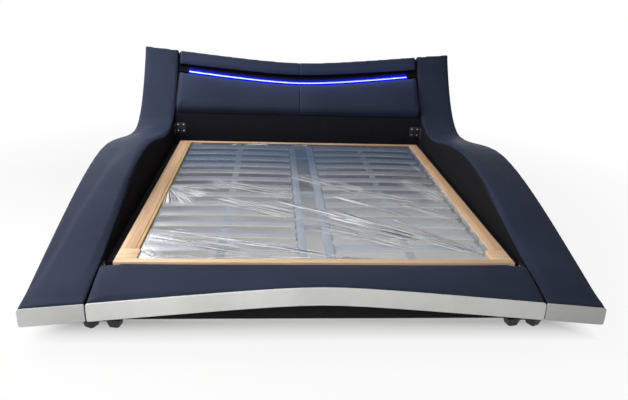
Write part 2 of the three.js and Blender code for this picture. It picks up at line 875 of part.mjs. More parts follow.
// Two pocketed rails with the cross tubes and brace between them, welded into one frame
function centreFrame() {
  const start = endRailWidth + seatGap;
  const end = slatBaseLength - endRailWidth - seatGap;
  const low = centreRailTop - centreRailHeight;
  const inner = centreRailGapWidth / 2;
  let frame = null;
  for (const side of [-1, 1]) {
    const xs = [side * inner, side * centreRailOuterX];
    let rail = solid(box([Math.min(...xs), start, low], [Math.max(...xs), end, centreRailTop]));
    const outer = side * (centreRailOuterX + cutOverrun);
    for (const cutter of pocketCutters(side * (centreRailOuterX - pocketDepth), outer)) {
      rail = rail.subtract(cutter);
    }
    frame = frame ? frame.add(rail) : rail;
  }
  const reach = inner + weldOverlap;
  const tubeTop = centreRailTop - crossTubeDrop;
  for (const share of crossTubeShares) {
    const y = share * slatBaseLength;
    frame = frame.add(solid(box(
      [-reach, y - centreRailWidth / 2, tubeTop - crossTubeHeight],
      [reach, y + centreRailWidth / 2, tubeTop],
    )));
  }
  const braceY = braceShare * slatBaseLength;
  frame = frame.add(solid(box(
    [-reach, braceY - braceWidth / 2, centreRailTop - braceThickness - weldOverlap],
    [reach, braceY + braceWidth / 2, centreRailTop - weldOverlap],
  )));
  piece("centre_frame", geometryOf(frame), steel);
}

// Flat belts that run under the middle of each half's slats
function belts() {
  const middle = (centreRailOuterX + holderInnerX) / 2;
  const rise = camberAt(middle + beltWidth / 2, centreRailOuterX, holderInnerX);
  const top = slatTop + rise - slatThickness - seatGap;
  const start = endRailWidth + seatGap;
  const end = slatBaseLength - endRailWidth - seatGap;
  for (const [word, side] of [["left", -1], ["right", 1]]) {
    const x = side * middle;
    piece(`${word}_slat_belt`, box(
      [x - beltWidth / 2, start, top - beltThickness], [x + beltWidth / 2, end, top],
    ), webbing);
  }
}

// Clear film laid over the slats, inside the wooden frame and round its corner blocks
function protectiveFilm() {
  const half = sideRailInnerX - seatGap;
  const narrow = slatBaseWidth / 2 - cornerBlockWidth - seatGap;
  const start = endRailWidth + seatGap;
  const step = start + cornerBlockLength + seatGap;
  const end = slatBaseLength - endRailWidth - seatGap;
  const outline = new THREE.Shape();
  outline.moveTo(-narrow, start);
  outline.lineTo(narrow, start);
  outline.lineTo(narrow, step);
  outline.lineTo(half, step);
  outline.lineTo(half, end);
  outline.lineTo(-half, end);
  outline.lineTo(-half, step);
  outline.lineTo(-narrow, step);
  const geometry = new THREE.ExtrudeGeometry(outline, { depth: filmThickness, bevelEnabled: false });
  piece("protective_film", geometry.translate(0, 0, filmBottom), film);
}

// Battens on the wings' inner faces, which carry the side rails
function ledgers() {
  const near = slatBaseWidth / 2 - ledgerBearing;
  const far = wingInnerX - seatGap;
  const top = slatBaseBottom - seatGap;
  for (const [word, side] of [["left", -1], ["right", 1]]) {
    const xs = [side * near, side * far];
    piece(`${word}_ledger`, box(
      [Math.min(...xs), ledgerEndInset, top - ledgerThickness],
      [Math.max(...xs), headFaceY - ledgerEndInset, top],
    ), board);
  }
}

// A bolt head standing on a face, its axis along x or y
function boltHead(point, axis) {
  const height = boltHeadHeight + weldOverlap;
  const head = new THREE.CylinderGeometry(boltHeadRadius, boltHeadRadius, height, boltSides);
  if (axis === "x") {
    head.rotateZ(Math.PI / 2);
  }
  return solid(head.translate(...point));
}

// Steel angles between the headboard and the wings, with four bolts on the front and two at the side
function headBrackets() {
  const back = headFaceY - seatGap;
  const far = wingInnerX - seatGap;
  const low = slatBaseTop + headBracketLift;
  const high = low + headBracketHeight;
  const front = back - bracketThickness;
  const stand = (boltHeadHeight - weldOverlap) / 2;
  for (const [word, side] of [["left", -1], ["right", 1]]) {
    const span = (a, b) => [Math.min(side * a, side * b), Math.max(side * a, side * b)];
    const [plateLow, plateHigh] = span(far - headBracketSize, far);
    const [flangeLow, flangeHigh] = span(far - bracketThickness, far);
    let bracket = solid(box([plateLow, front, low], [plateHigh, back, high]));
    bracket = bracket.add(solid(box([flangeLow, back - headBracketSize, low], [flangeHigh, back, high])));
    for (const z of [low + boltInset, high - boltInset]) {
      for (const x of [far - boltInset, far - headBracketSize + boltInset]) {
        bracket = bracket.add(boltHead([side * x, front - stand, z], "y"));
      }
      const flangeX = side * (far - bracketThickness - stand);
      bracket = bracket.add(boltHead([flangeX, back - headBracketSize + boltInset, z], "x"));
    }
    piece(`${word}_head_bracket`, geometryOf(bracket), darkSteel);
  }
}

// Smaller angles between the footboard and the wings, beside the slat base's corners
function footBrackets() {
  const back = -liftGap + seatGap;
  const far = wingInnerX - seatGap;
  const near = slatBaseWidth / 2 + bracketSideGap;
  const high = slatBaseTop - footBracketDrop;
  const low = high - footBracketHeight;
  const stand = (boltHeadHeight - weldOverlap) / 2;
  for (const [word, side] of [["left", -1], ["right", 1]]) {
    const span = (a, b) => [Math.min(side * a, side * b), Math.max(side * a, side * b)];
    const [plateLow, plateHigh] = span(near, far);
    const [flangeLow, flangeHigh] = span(far - bracketThickness, far);
    let bracket = solid(box([plateLow, back, low], [plateHigh, back + bracketThickness, high]));
    bracket = bracket.add(solid(box([flangeLow, back, low], [flangeHigh, footBracketLength, high])));
    for (const y of [footBracketLength / 2, footBracketLength - boltInset]) {
      const flangeX = side * (far - bracketThickness - stand);
      bracket = bracket.add(boltHead([flangeX, y, high - boltInset], "x"));
    }
    piece(`${word}_foot_bracket`, geometryOf(bracket), darkSteel);
  }
}

// One tapered foot with cut corners, turned as it was screwed in
function footSolid(x, y, turn) {
  const ring = (width, z) => {
    const half = width / 2;
    const cut = half - footCornerCut;
    const corners = [
      [half, cut], [cut, half], [-cut, half], [-half, cut],
      [-half, -cut], [-cut, -half], [cut, -half], [half, -cut],
    ];
    return corners.map(([px, py]) => new THREE.Vector3(px, py, z));
  };
  const rings = [ring(footBottomWidth, 0), ring(footTopWidth, floorClearance - seatGap - weldOverlap)];
  const geometry = loft(rings, rings[0].map((point) => new THREE.Vector2(point.x, point.y)));
  return solid(geometry.rotateZ(THREE.MathUtils.degToRad(turn)).translate(x, y, 0));
}

// Four pairs of feet, each pair on its own mounting plate
function feet() {
  const outer = plinthHalf - outerFootInset;
  const inner = outer - footSpacing;
  const frontY = plinthSetback - footOverhang + plinthDepth / 2 - footForward;
  const rearY = headFaceY + sillSetback + sillDepth / 2;
  const top = floorClearance - seatGap;
  for (const [end, y] of [["front", frontY], ["rear", rearY]]) {
    for (const [word, side] of [["left", -1], ["right", 1]]) {
      const xs = [side * (inner - footTopWidth / 2), side * (outer + footTopWidth / 2)];
      const plate = solid(box(
        [Math.min(...xs), y - footTopWidth / 2, top - footPlateThickness],
        [Math.max(...xs), y + footTopWidth / 2, top],
      ));
      const pair = plate
        .add(footSolid(side * outer, y, side * footTurns[0]))
        .add(footSolid(side * inner, y, side * footTurns[1]));
      piece(`${end}_${word}_feet`, geometryOf(pair), plastic);
    }
  }
}

wing("left_wing", -1);
wing("right_wing", 1);
wingBands();
footboard();
plinth();
headboardFrame();
headboardPads();
headboardLight();
slatBaseFrame();
slats();
slatHolders();
centreFrame();
belts();
protectiveFilm();
ledgers();
headBrackets();
footBrackets();
feet();

bed.position.y = -originY;
const root = new THREE.Group();
root.add(bed);

export default root;
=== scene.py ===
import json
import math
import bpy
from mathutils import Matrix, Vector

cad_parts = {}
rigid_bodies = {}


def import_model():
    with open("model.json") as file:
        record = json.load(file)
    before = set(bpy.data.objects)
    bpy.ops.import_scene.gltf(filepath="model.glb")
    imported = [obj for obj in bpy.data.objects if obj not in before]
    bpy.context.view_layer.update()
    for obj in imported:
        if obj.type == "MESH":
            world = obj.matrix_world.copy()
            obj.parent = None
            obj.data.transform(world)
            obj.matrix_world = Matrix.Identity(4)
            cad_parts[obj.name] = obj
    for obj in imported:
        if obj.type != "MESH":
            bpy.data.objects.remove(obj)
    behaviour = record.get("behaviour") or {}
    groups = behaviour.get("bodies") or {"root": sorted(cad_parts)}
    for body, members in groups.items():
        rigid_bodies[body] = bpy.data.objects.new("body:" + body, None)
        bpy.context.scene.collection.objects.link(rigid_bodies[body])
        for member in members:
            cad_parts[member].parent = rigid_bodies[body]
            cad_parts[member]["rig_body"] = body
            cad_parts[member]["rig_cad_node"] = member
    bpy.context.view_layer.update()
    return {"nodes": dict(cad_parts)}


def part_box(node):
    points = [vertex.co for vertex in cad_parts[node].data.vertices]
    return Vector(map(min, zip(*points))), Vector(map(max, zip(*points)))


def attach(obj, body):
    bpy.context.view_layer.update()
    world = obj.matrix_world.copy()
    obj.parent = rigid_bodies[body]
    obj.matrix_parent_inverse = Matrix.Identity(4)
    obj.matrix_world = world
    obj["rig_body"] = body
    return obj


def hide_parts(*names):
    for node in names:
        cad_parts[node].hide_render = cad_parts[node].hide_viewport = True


bl_info = {
    "name": "Wave-sided leather bed",
    "version": (1, 0, 0),
    "blender": (4, 5, 0),
    "location": "View3D > Sidebar > Leather Bed",
    "description": "Dresses the packed frame of a leather bed with upholstery, wood, steel, film and light",
    "category": "Object",
}

import bpy
import numpy as np
from mathutils import Matrix, Vector, noise

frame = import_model()

MM = 0.001
BED = "bed_frame"
BASE = "slat_base"
SIDES = {"left": -1, "right": 1}
SLAT_ROWS = sum(name.removeprefix("left_slat_").isdigit() for name in frame["nodes"])

# Camera, solved from the symmetric corners of the bed
PHOTO_SIZE = (628, 400)
FOCAL_PIXELS = 586.6
SENSOR_WIDTH = 36.0
CAMERA_PLACE = Vector((-0.216, -3.510, 1.458))
CAMERA_YAW = math.radians(4.48)
CAMERA_PITCH = math.radians(20.91)
CAMERA_ROLL = math.radians(2.24)
CAMERA_REACH = 60

# Soft round lamps: place, target and width
LAMPS = {
    "side": ((-3.4, 0.4, 2.2), (0.0, 0.0, 0.3), 2.2),
    "rear": ((-2.8, 3.2, 3.0), (-0.4, -0.4, 0.2), 2.6),
    "top": ((-1.8, 0.2, 3.0), (-0.8, 0.0, 0.3), 1.8),
    "front": ((-1.6, -4.8, 3.0), (0.0, 0.0, 0.2), 3.0),
}

# Stretches of the floor: beside and before the bed, from foot to head below it (where painted shade darkens
# and painted light lifts the floor), and far from it
FLOOR_WIDTH = 40
FLOOR_BESIDE = (0.95, 1.25)
FLOOR_BEFORE = (1.15, 1.40)
FLOOR_PAINTED_SHADE = (-0.7, 0.8)
FLOOR_PAINTED_LIGHT = (-1.1, 0.35)
FLOOR_FAR = (1.6, 3.2)

# How far the fronts of the headboard's pads lean back, and the slope that the bar lies on
PAD_LEANS = {"upper": 61.0, "lower": 50.0}
BAR_LEAN = 53.0

# Cuts beside a pad's seam, as shares of the seam's reach, and cuts in a band's rounded corner
SEAM_CUTS = (-1.0, -0.6, -0.3, -0.1, 0.0, 0.1, 0.3, 0.6, 1.0)
CORNER_CUTS = (0.12, 0.3, 0.6)

# Painted light of the bar on its trough: the trough glows, from far to near, in shares of the glow colour
TROUGH_PAINTED_GLOW = ((0.0, 0.0), (0.06, 0.02), (0.18, 0.12), (0.30, 0.42), (0.42, 0.80), (1.0, 0.9))

# Film: limits of its painted highlight lines and painted shade lines in the noise, and how a crease's lines
# are spaced
PAINTED_HIGHLIGHT_LINES = (0.505, 0.575)
PAINTED_SHADE_LINES = (0.46, 0.37)
LINES_ALONG = 2
LINES_ACROSS = 1.8
CREASE_STEP = 7.3
CREASE_TIP_RATE = 5

# Film, by distance: the painted shade of the dark seen through it from the head end, and its hems in
# millimetres from the sides
FILM_PAINTED_SHADE = (
    (0, 1), (14 * MM, 1), (30 * MM, 0.45), (0.4, 0.42), (0.7, 0.28), (1.25, 0.24), (1.6, 0),
)
FILM_HEM_LEFT = ((16, 0), (20, 0.6), (34, 0.5), (44, 0))
FILM_HEM_RIGHT = ((0, 0), (3, 0.9), (9, 0.9), (14, 0))
FILM_HEM_FADE = ((-0.3, 1.0), (0.5, 0.1))

# Creases of the film: start, end, half width at each, number of lines across and strength; they lift the
# sheet and carry its painted highlight and painted shade lines, and the short, narrow ones are painted glints
FILM_CREASES = (
    ((0.812, -1.108), (0.06, -0.535), 0.010, 0.085, 5.0, 2.00),
    ((0.812, -1.108), (-0.20, -0.370), 0.006, 0.030, 1.6, 1.70),
    ((0.812, -1.108), (0.42, -0.640), 0.008, 0.030, 2.5, 1.50),
    ((0.130, -0.290), (0.560, -0.630), 0.022, 0.020, 2.2, 1.10),
    ((0.090, -0.740), (0.240, -0.850), 0.012, 0.010, 1.2, 1.10),
    ((-0.400, -0.930), (0.160, -1.120), 0.030, 0.024, 3.0, 1.25),
    ((-0.815, -0.795), (-0.050, -1.020), 0.016, 0.030, 2.2, 0.75),
    ((-0.830, -0.150), (-0.600, -0.190), 0.006, 0.060, 3.0, 0.80),
    ((-0.830, -0.150), (-0.590, -0.330), 0.006, 0.085, 5.0, 1.00),
    ((-0.830, -0.150), (-0.670, -0.470), 0.006, 0.085, 5.0, 1.00),
    ((-0.830, -0.150), (-0.790, -0.470), 0.006, 0.070, 4.0, 0.85),
    ((-0.620, -0.040), (-0.060, -0.330), 0.090, 0.110, 9.0, 0.50),
    ((-0.560, -0.320), (-0.050, -0.640), 0.090, 0.110, 9.0, 0.45),
    ((-0.120, 0.100), (0.380, -0.280), 0.090, 0.120, 10.0, 0.50),
    ((0.200, -0.190), (0.700, -0.440), 0.080, 0.090, 8.0, 0.45),
    ((0.600, 0.030), (0.825, -0.370), 0.070, 0.100, 8.0, 0.60),
    ((0.500, -0.400), (0.825, -0.640), 0.070, 0.100, 8.0, 0.50),
    ((-0.120, -0.620), (0.500, -1.000), 0.110, 0.110, 10.0, 0.45),
    ((-0.820, -0.870), (-0.300, -1.060), 0.060, 0.060, 6.0, 0.60),
    ((-0.610, -0.170), (-0.515, -0.224), 0.008, 0.006, 0.6, 1.60),
    ((-0.690, -0.795), (-0.610, -0.812), 0.008, 0.006, 0.6, 1.50),
    ((-0.720, -0.865), (-0.560, -0.955), 0.008, 0.010, 0.8, 1.50),
    ((0.480, -0.712), (0.565, -0.805), 0.008, 0.008, 0.8, 1.60),
    ((0.600, -0.850), (0.770, -1.020), 0.010, 0.014, 1.2, 1.00),
    ((0.770, -0.620), (0.795, -0.680), 0.008, 0.008, 0.8, 1.50),
    ((0.740, 0.400), (0.790, 0.190), 0.014, 0.014, 1.2, 0.90),
    ((-0.700, -1.095), (0.350, -1.125), 0.020, 0.020, 2.5, 0.90),
    ((-0.790, -1.040), (-0.740, -1.100), 0.020, 0.014, 2.0, 1.40),
    ((-0.515, 0.768), (-0.440, 0.770), 0.010, 0.009, 0.5, 2.20),
    ((-0.430, 0.766), (-0.235, 0.772), 0.010, 0.012, 0.5, 2.40),
    ((-0.060, 0.768), (0.060, 0.770), 0.008, 0.008, 0.5, 1.80),
    ((-0.800, 0.770), (-0.730, 0.768), 0.008, 0.006, 0.5, 1.50),
)


def colour(name, description, default):
    return bpy.props.FloatVectorProperty(
        name=name, description=description, default=default, subtype="COLOR", size=3, min=0, max=1
    )


def length(name, description, default):
    return bpy.props.FloatProperty(
        name=name, description=description, default=default, subtype="DISTANCE", unit="LENGTH", min=0
    )


def amount(name, description, default):
    return bpy.props.FloatProperty(name=name, description=description, default=default, min=0)


class UpholsterySettings(bpy.types.PropertyGroup):
    """Leather, lining and the padding under them"""

    leather: colour("Leather", "Dark leather of wings, footboard and headboard", (0.031, 0.039, 0.066))
    pale_leather: colour("Pale leather", "Leather of the bands at the foot edge", (0.70, 0.705, 0.69))
    # Painted shade: the same pale leather as the foot band, coloured darker
    end_leather_painted_shade: colour("End leather", "Leather of the bands across the wings' ends", (0.515, 0.52, 0.51))
    # On the wings' walls this black is partly painted shade of the walls
    lining: colour("Lining", "Black lining of the well's walls and the plinth", (0.0135, 0.0130, 0.0150))
    upright: colour("Upright", "Dark face below the headboard's pads", (0.0055, 0.0058, 0.0100))
    grain: length("Grain", "Width of one pebble of the leather's grain", 1.6 * MM)
    wing_voxel: length("Wing mesh", "Voxel size for the wings", 10 * MM)
    pad_voxel: length("Pad mesh", "Voxel size for the headboard's pads and the footboard", 8 * MM)
    pad_rounds: bpy.props.IntProperty(
        name="Pad rounding", description="Smoothing passes over the headboard's pads", default=18, min=0
    )
    pressure: amount("Pressure", "Pressure of the padding under the leather", 2.5)
    swell_cap: length("Swell", "Furthest that the leather may swell", 4 * MM)
    seam_depth: length("Seam depth", "Depth of the seam down the middle of the pads", 6 * MM)
    seam_reach: length("Seam reach", "Half width over which the leather dips into the seam", 9 * MM)
    wing_edge: length("Wing edge", "Width of the rounding along the wings' edges", 12 * MM)
    pad_edge: length("Pad edge", "Width of the rounding along the pads' and the footboard's edges", 7 * MM)
    tuck_depth: length("Tuck depth", "How far the lower pad's front draws back at its lower edge", 24 * MM)
    tuck_height: length("Tuck height", "Height over which the lower pad's front draws back", 120 * MM)


class SlatBaseSettings(bpy.types.PropertyGroup):
    """Wood, steel, belts and film of the lift-out base"""

    beech: colour("Beech", "Side, head and foot rails", (0.70, 0.46, 0.28))
    # Painted shade: a darker, more saturated beech, for the bead lying in shade
    bead: colour("Bead", "Bead along the left side rail", (0.60, 0.40, 0.17))
    pale_wood: colour("Pale wood", "Corner blocks", (0.80, 0.58, 0.36))
    slat: colour("Slat", "Grey foil on the slats", (0.36, 0.395, 0.46))
    ply: colour("Plywood", "Edges of the slats", (0.98, 0.91, 0.74))
    steel: colour("Steel", "Centre frame", (0.28, 0.35, 0.46))
    plastic: colour("Plastic", "Moulded feet", (0.006, 0.006, 0.007))
    holder: colour("Holder", "Slat holders and caps", (0.105, 0.098, 0.066))
    belt: colour("Belt", "Woven belts", (0.38, 0.45, 0.55))
    film: colour("Film", "Protective film", (0.86, 0.90, 0.96))
    film_cell: length("Film mesh", "Cell size of the film's mesh", 8.5 * MM)
    crease: length("Crease", "Height of the film's highest creases", 3.2 * MM)
    rail_edge: length("Rail edge", "Softening of the wooden edges", 2 * MM)
    slat_thickness: length("Slat thickness", "Thickness of a slat", 10 * MM)


class LampSettings(bpy.types.PropertyGroup):
    """The light bar between the headboard's pads"""

    core: colour("Core", "Colour of the light bar's middle", (0.50, 0.78, 1.0))
    # Also the colour of the painted glow on the trough
    glow: colour("Glow", "Colour of the light around the bar", (0.0, 0.01, 1.0))
    core_strength: amount("Core strength", "Brightness of the bar's middle", 1.6)
    # Painted light: the bar's light on the headboard leather is emission in this colour, at this strength
    spread: colour("Spread", "Colour of the bar's light on the leather", (0.22, 0.26, 1.0))
    painted_leather_light_strength: amount("Spread strength", "Brightness of the bar's light on the leather", 0.14)
    # Strength of the painted glow on the trough
    painted_trough_glow: amount("Glow strength", "Brightness of the light around the bar", 0.9)


class StageSettings(bpy.types.PropertyGroup):
    """Floor, lamps and surroundings"""

    floor: colour("Floor", "Plain pale floor", (0.80, 0.79, 0.76))
    # Painted shade: colour of the floor below the headboard
    floor_painted_shade: colour("Floor at the head", "Floor in the shade below the headboard", (0.035, 0.05, 0.095))
    # Painted light: how far the floor seen through the slats is lifted towards white
    floor_painted_light: amount("Floor inside", "How far the floor seen through the slats is lifted", 0.36)
    floor_white: amount("Floor white", "How far the open floor keeps white where the bed shades it", 0.90)
    sky_strength: amount("Sky", "Even light from all round", 0.08)
    side_power: amount("Side", "Soft lamp to the left", 92.0)
    rear_power: amount("Rear", "Soft lamp behind the left wing", 61.0)
    top_power: amount("Top", "Large soft lamp overhead", 42.0)
    front_power: amount("Front", "Soft lamp above the camera", 142.0)


# Selecting and modelling

def select_only(*objects):
    if bpy.context.object and bpy.context.object.mode != "OBJECT":
        bpy.ops.object.mode_set(mode="OBJECT")
    bpy.ops.object.select_all(action="DESELECT")
    for item in objects:
        item.hide_set(False)
        item.select_set(True)
    bpy.context.view_layer.objects.active = objects[0]


def edit_all(piece, *steps):
    """Runs edit-mode steps with the whole mesh selected."""
    select_only(piece)
    bpy.ops.object.mode_set(mode="EDIT")
    bpy.ops.mesh.select_all(action="SELECT")
    for step in steps:
        step()
    bpy.ops.object.mode_set(mode="OBJECT")


def delete_faces(piece, wanted):
    """Deletes the faces whose centre passes the test."""
    select_only(piece)
    bpy.ops.object.mode_set(mode="EDIT")
    bpy.ops.mesh.select_all(action="DESELECT")
    bpy.ops.object.mode_set(mode="OBJECT")
    for face in piece.data.polygons:
        face.select = wanted(face.center)
    bpy.ops.object.mode_set(mode="EDIT")
    bpy.ops.mesh.select_mode(type="FACE")
    bpy.ops.mesh.delete(type="FACE")
    bpy.ops.object.mode_set(mode="OBJECT")


def apply_modifier(piece, kind, **settings):
    select_only(piece)
    made = piece.modifiers.new(kind.title(), kind)
    for key, value in settings.items():
        setattr(made, key, value)
    bpy.ops.object.modifier_apply(modifier=made.name)


def named(name):
    """Names the object that an operator has just made."""
    piece = bpy.context.object
    piece.name = name
    piece.data.name = name
    return piece


def smooth(piece, degrees):
    select_only(piece)
    bpy.ops.object.shade_smooth_by_angle(angle=math.radians(degrees))


def soften(piece, width, segments=2, degrees=35):
    """Rounds the piece's edges and shades it smooth."""
    apply_modifier(piece, "BEVEL", width=width, segments=segments, limit_method="ANGLE")
    smooth(piece, degrees)


def fitted(name, size, middle):
    """Names the new unit shape and stretches it to a size round its middle."""
    piece = named(name)
    edit_all(
        piece,
        lambda: bpy.ops.transform.resize(value=size),
        lambda: bpy.ops.transform.translate(value=middle),
    )
    return piece


def cube(name, low, high):
    """A sharp block between two corners."""
    bpy.ops.object.select_all(action="DESELECT")
    bpy.ops.mesh.primitive_cube_add(size=1)
    return fitted(name, Vector(high) - Vector(low), (Vector(high) + Vector(low)) / 2)


def block(name, low, high, edge, segments=2):
    """A block between two corners with softened edges."""
    piece = cube(name, low, high)
    soften(piece, edge, segments, 40)
    return piece


def level_grid(name, cells, low, high, height):
    """A level sheet of cells between two corners."""
    bpy.ops.object.select_all(action="DESELECT")
    bpy.ops.mesh.primitive_grid_add(x_subdivisions=cells[0], y_subdivisions=cells[1], size=1)
    size = (high[0] - low[0], high[1] - low[1], 1)
    return fitted(name, size, ((high[0] + low[0]) / 2, (high[1] + low[1]) / 2, height))


def cut_across(piece, places):
    """Cuts the mesh at planes across the bed."""
    for place in places:
        edit_all(piece, lambda: bpy.ops.mesh.bisect(plane_co=(place, 0, 0), plane_no=(1, 0, 0)))


def node_copy(node, name):
    """A merged copy of a CAD node, free of its body, ready to be dressed."""
    piece = copied(frame["nodes"][node], name)
    bpy.ops.object.parent_clear(type="CLEAR_KEEP_TRANSFORM")
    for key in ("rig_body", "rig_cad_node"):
        if key in piece:
            del piece[key]
    edit_all(
        piece,
        lambda: bpy.ops.mesh.remove_doubles(threshold=0.01 * MM),
        lambda: bpy.ops.mesh.tris_convert_to_quads(
            face_threshold=math.radians(25), shape_threshold=math.radians(60)
        ),
        lambda: bpy.ops.mesh.normals_make_consistent(inside=False),
    )
    return piece


def join(name, pieces):
    select_only(*pieces)
    bpy.ops.object.join()
    return named(name)


def copied(piece, name):
    """A copy with its own mesh."""
    select_only(piece)
    bpy.ops.object.duplicate()
    return named(name)


def turn_over(piece):
    """Mirrors a piece to the other side of the bed and turns it right side out."""
    edit_all(
        piece,
        lambda: bpy.ops.transform.resize(value=(-1, 1, 1), center_override=(0, 0, 0)),
        lambda: bpy.ops.mesh.flip_normals(),
    )


def mirrored(piece, name):
    """A copy on the other side of the bed."""
    made = copied(piece, name)
    turn_over(made)
    return made


def points_of(piece):
    """The places of a mesh's points, a row for each."""
    points = np.zeros(len(piece.data.vertices) * 3)
    piece.data.vertices.foreach_get("co", points)
    return points.reshape(-1, 3)


def put_points(piece, points):
    piece.data.vertices.foreach_set("co", points.ravel())
    piece.data.update()


def keep(piece, name, values, kind="FLOAT"):
    """Keeps a value for each point on the mesh, where a material reads it."""
    kept = piece.data.attributes.new(name=name, type=kind, domain="POINT")
    kept.data.foreach_set("value" if kind == "FLOAT" else "vector", values.ravel())


def profile(values, table):
    """Values read off a table of places and levels."""
    return np.interp(values, *zip(*table))


def first_slat():
    """The lowest corner, the highest corner and the pitch of the left slats."""
    low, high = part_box("left_slat_1")
    return low, high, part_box("left_slat_2")[0][1] - low[1]


def dress(piece, body, nodes, materials=()):
    """Gives a finished piece its materials and body, and hides the nodes it stands for."""
    if materials:
        piece.data.materials.clear()
        for item in materials:
            piece.data.materials.append(item)
    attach(piece, body)
    if nodes:
        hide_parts(*nodes)


# Shader nodes and materials

def shader_node(tree, kind, inputs=None, **settings):
    """A node with its settings, its sockets linked or set."""
    made = tree.nodes.new(kind)
    for key, value in settings.items():
        setattr(made, key, value)
    for key, value in (inputs or {}).items():
        fill(tree, made.inputs[key], value)
    return made


def fill(tree, socket, value):
    """Links another node's socket to a socket, or sets its value."""
    if isinstance(value, bpy.types.NodeSocket):
        tree.links.new(value, socket)
    else:
        socket.default_value = value


def feed(tree, shader, **sources):
    for key, value in sources.items():
        fill(tree, shader.inputs[key.replace("_", " ")], value)


def maths(tree, operation, *values, clamp=False):
    inputs = dict(enumerate(values))
    made = shader_node(tree, "ShaderNodeMath", inputs, operation=operation, use_clamp=clamp)
    return made.outputs["Value"]


def ranged(tree, value, start, end, low=0.0, high=1.0):
    """A value moved from one range to another, and held inside it."""
    inputs = {"Value": value, "From Min": start, "From Max": end, "To Min": low, "To Max": high}
    return shader_node(tree, "ShaderNodeMapRange", inputs).outputs["Result"]


def clouds(tree, place, scale, detail=2.0, roughness=0.5, distortion=0.0):
    inputs = {
        "Vector": place, "Scale": scale, "Detail": detail, "Roughness": roughness, "Distortion": distortion,
    }
    return shader_node(tree, "ShaderNodeTexNoise", inputs).outputs["Fac"]


def drawn_out(tree, place, scale, **settings):
    """Noise stretched by a scale for each axis."""
    stretched = shader_node(tree, "ShaderNodeMapping", {"Vector": place, "Scale": scale})
    return clouds(tree, stretched.outputs["Vector"], scale=1.0, **settings)


def ramped(tree, value, *stops):
    """A colour chosen by a value from stops of place and colour."""
    ramp = shader_node(tree, "ShaderNodeValToRGB", {"Fac": value})
    elements = ramp.color_ramp.elements
    for element, (place, tint) in zip(elements, (stops[0], stops[-1])):
        element.position = place
        element.color = tint
    for place, tint in stops[1:-1]:
        elements.new(place).color = tint
    return ramp.outputs["Color"]


def mixed(tree, share, first, second, blend="MIX"):
    """One colour laid over another by a share."""
    made = shader_node(tree, "ShaderNodeMix", {"Factor": share}, data_type="RGBA", blend_type=blend)
    sockets = (socket for socket in made.inputs if socket.type == "RGBA")
    for socket, value in zip(sockets, (first, second)):
        fill(tree, socket, value)
    return next(socket for socket in made.outputs if socket.type == "RGBA")


def split(tree, vector):
    return shader_node(tree, "ShaderNodeSeparateXYZ", {0: vector}).outputs


def kept_value(tree, name, output="Fac"):
    """A value that the mesh keeps for each point."""
    return shader_node(tree, "ShaderNodeAttribute", attribute_name=name).outputs[output]


def object_place(tree):
    return shader_node(tree, "ShaderNodeTexCoord").outputs["Object"]


def seen_directly(tree):
    """1 for rays from the camera, also through glass or by a mirror, and 0 for light."""
    rays = shader_node(tree, "ShaderNodeLightPath").outputs
    seen = maths(tree, "MAXIMUM", rays["Is Camera Ray"], rays["Is Transmission Ray"])
    return maths(tree, "MAXIMUM", seen, rays["Is Glossy Ray"])


def new_material(name, **inputs):
    """A material with its tree, its shader and object coordinates."""
    made = bpy.data.materials.new(name)
    made.use_nodes = True
    tree = made.node_tree
    shader = tree.nodes["Principled BSDF"]
    feed(tree, shader, **inputs)
    return made, tree, shader, object_place(tree)


def rgba(values, factor=1.0):
    return (*(min(1.0, value * factor) for value in values), 1.0)


def tinted(values, shares):
    return rgba([value * share for value, share in zip(values, shares)])


def mottled(tree, place, tint, scale, spread):
    """A colour that drifts a little lighter and darker over the surface."""
    cloud = clouds(tree, place, scale, detail=4.0)
    return ramped(tree, cloud, (0.3, rgba(tint, 1 - spread)), (0.7, rgba(tint, 1 + spread)))


def rough_range(tree, place, scale, low, high):
    return ranged(tree, clouds(tree, place, scale, detail=3.0), 0.0, 1.0, low, high)


def finish_surface(tree, shader, tint, rough, height, depth, strength):
    """Gives a shader its colour, its roughness and a fine relief."""
    relief = shader_node(
        tree, "ShaderNodeBump", {"Height": height, "Distance": depth, "Strength": strength}
    )
    feed(tree, shader, Base_Color=tint, Roughness=rough, Normal=relief.outputs["Normal"])


def leather_material(name, tint, grain, low=0.40, high=0.50, level=0.015):
    """Pebbled leather with faint creases, and a tint that drifts a little."""
    made, tree, shader, place = new_material(name, Specular_IOR_Level=level)
    pebbles = shader_node(
        tree, "ShaderNodeTexVoronoi", {"Vector": place, "Scale": 1 / grain, "Randomness": 0.9},
        feature="SMOOTH_F1",
    )
    creases = clouds(tree, place, scale=60.0, detail=8.0, distortion=0.6)
    finish_surface(
        tree, shader, mottled(tree, place, tint, scale=3.0, spread=0.10),
        rough_range(tree, place, 9.0, low, high),
        maths(tree, "MULTIPLY_ADD", pebbles.outputs["Distance"], 0.6, creases),
        depth=0.35 * MM, strength=0.7,
    )
    return made


def paint_bar_light(made, glow, strength):
    """Paints the bar's light on a leather as emission, by how near each point is to the bar (kept on the mesh
    as "near").
    """
    tree = made.node_tree
    power = maths(tree, "MULTIPLY", kept_value(tree, "near"), strength)
    feed(tree, tree.nodes["Principled BSDF"], Emission_Color=rgba(glow), Emission_Strength=power)


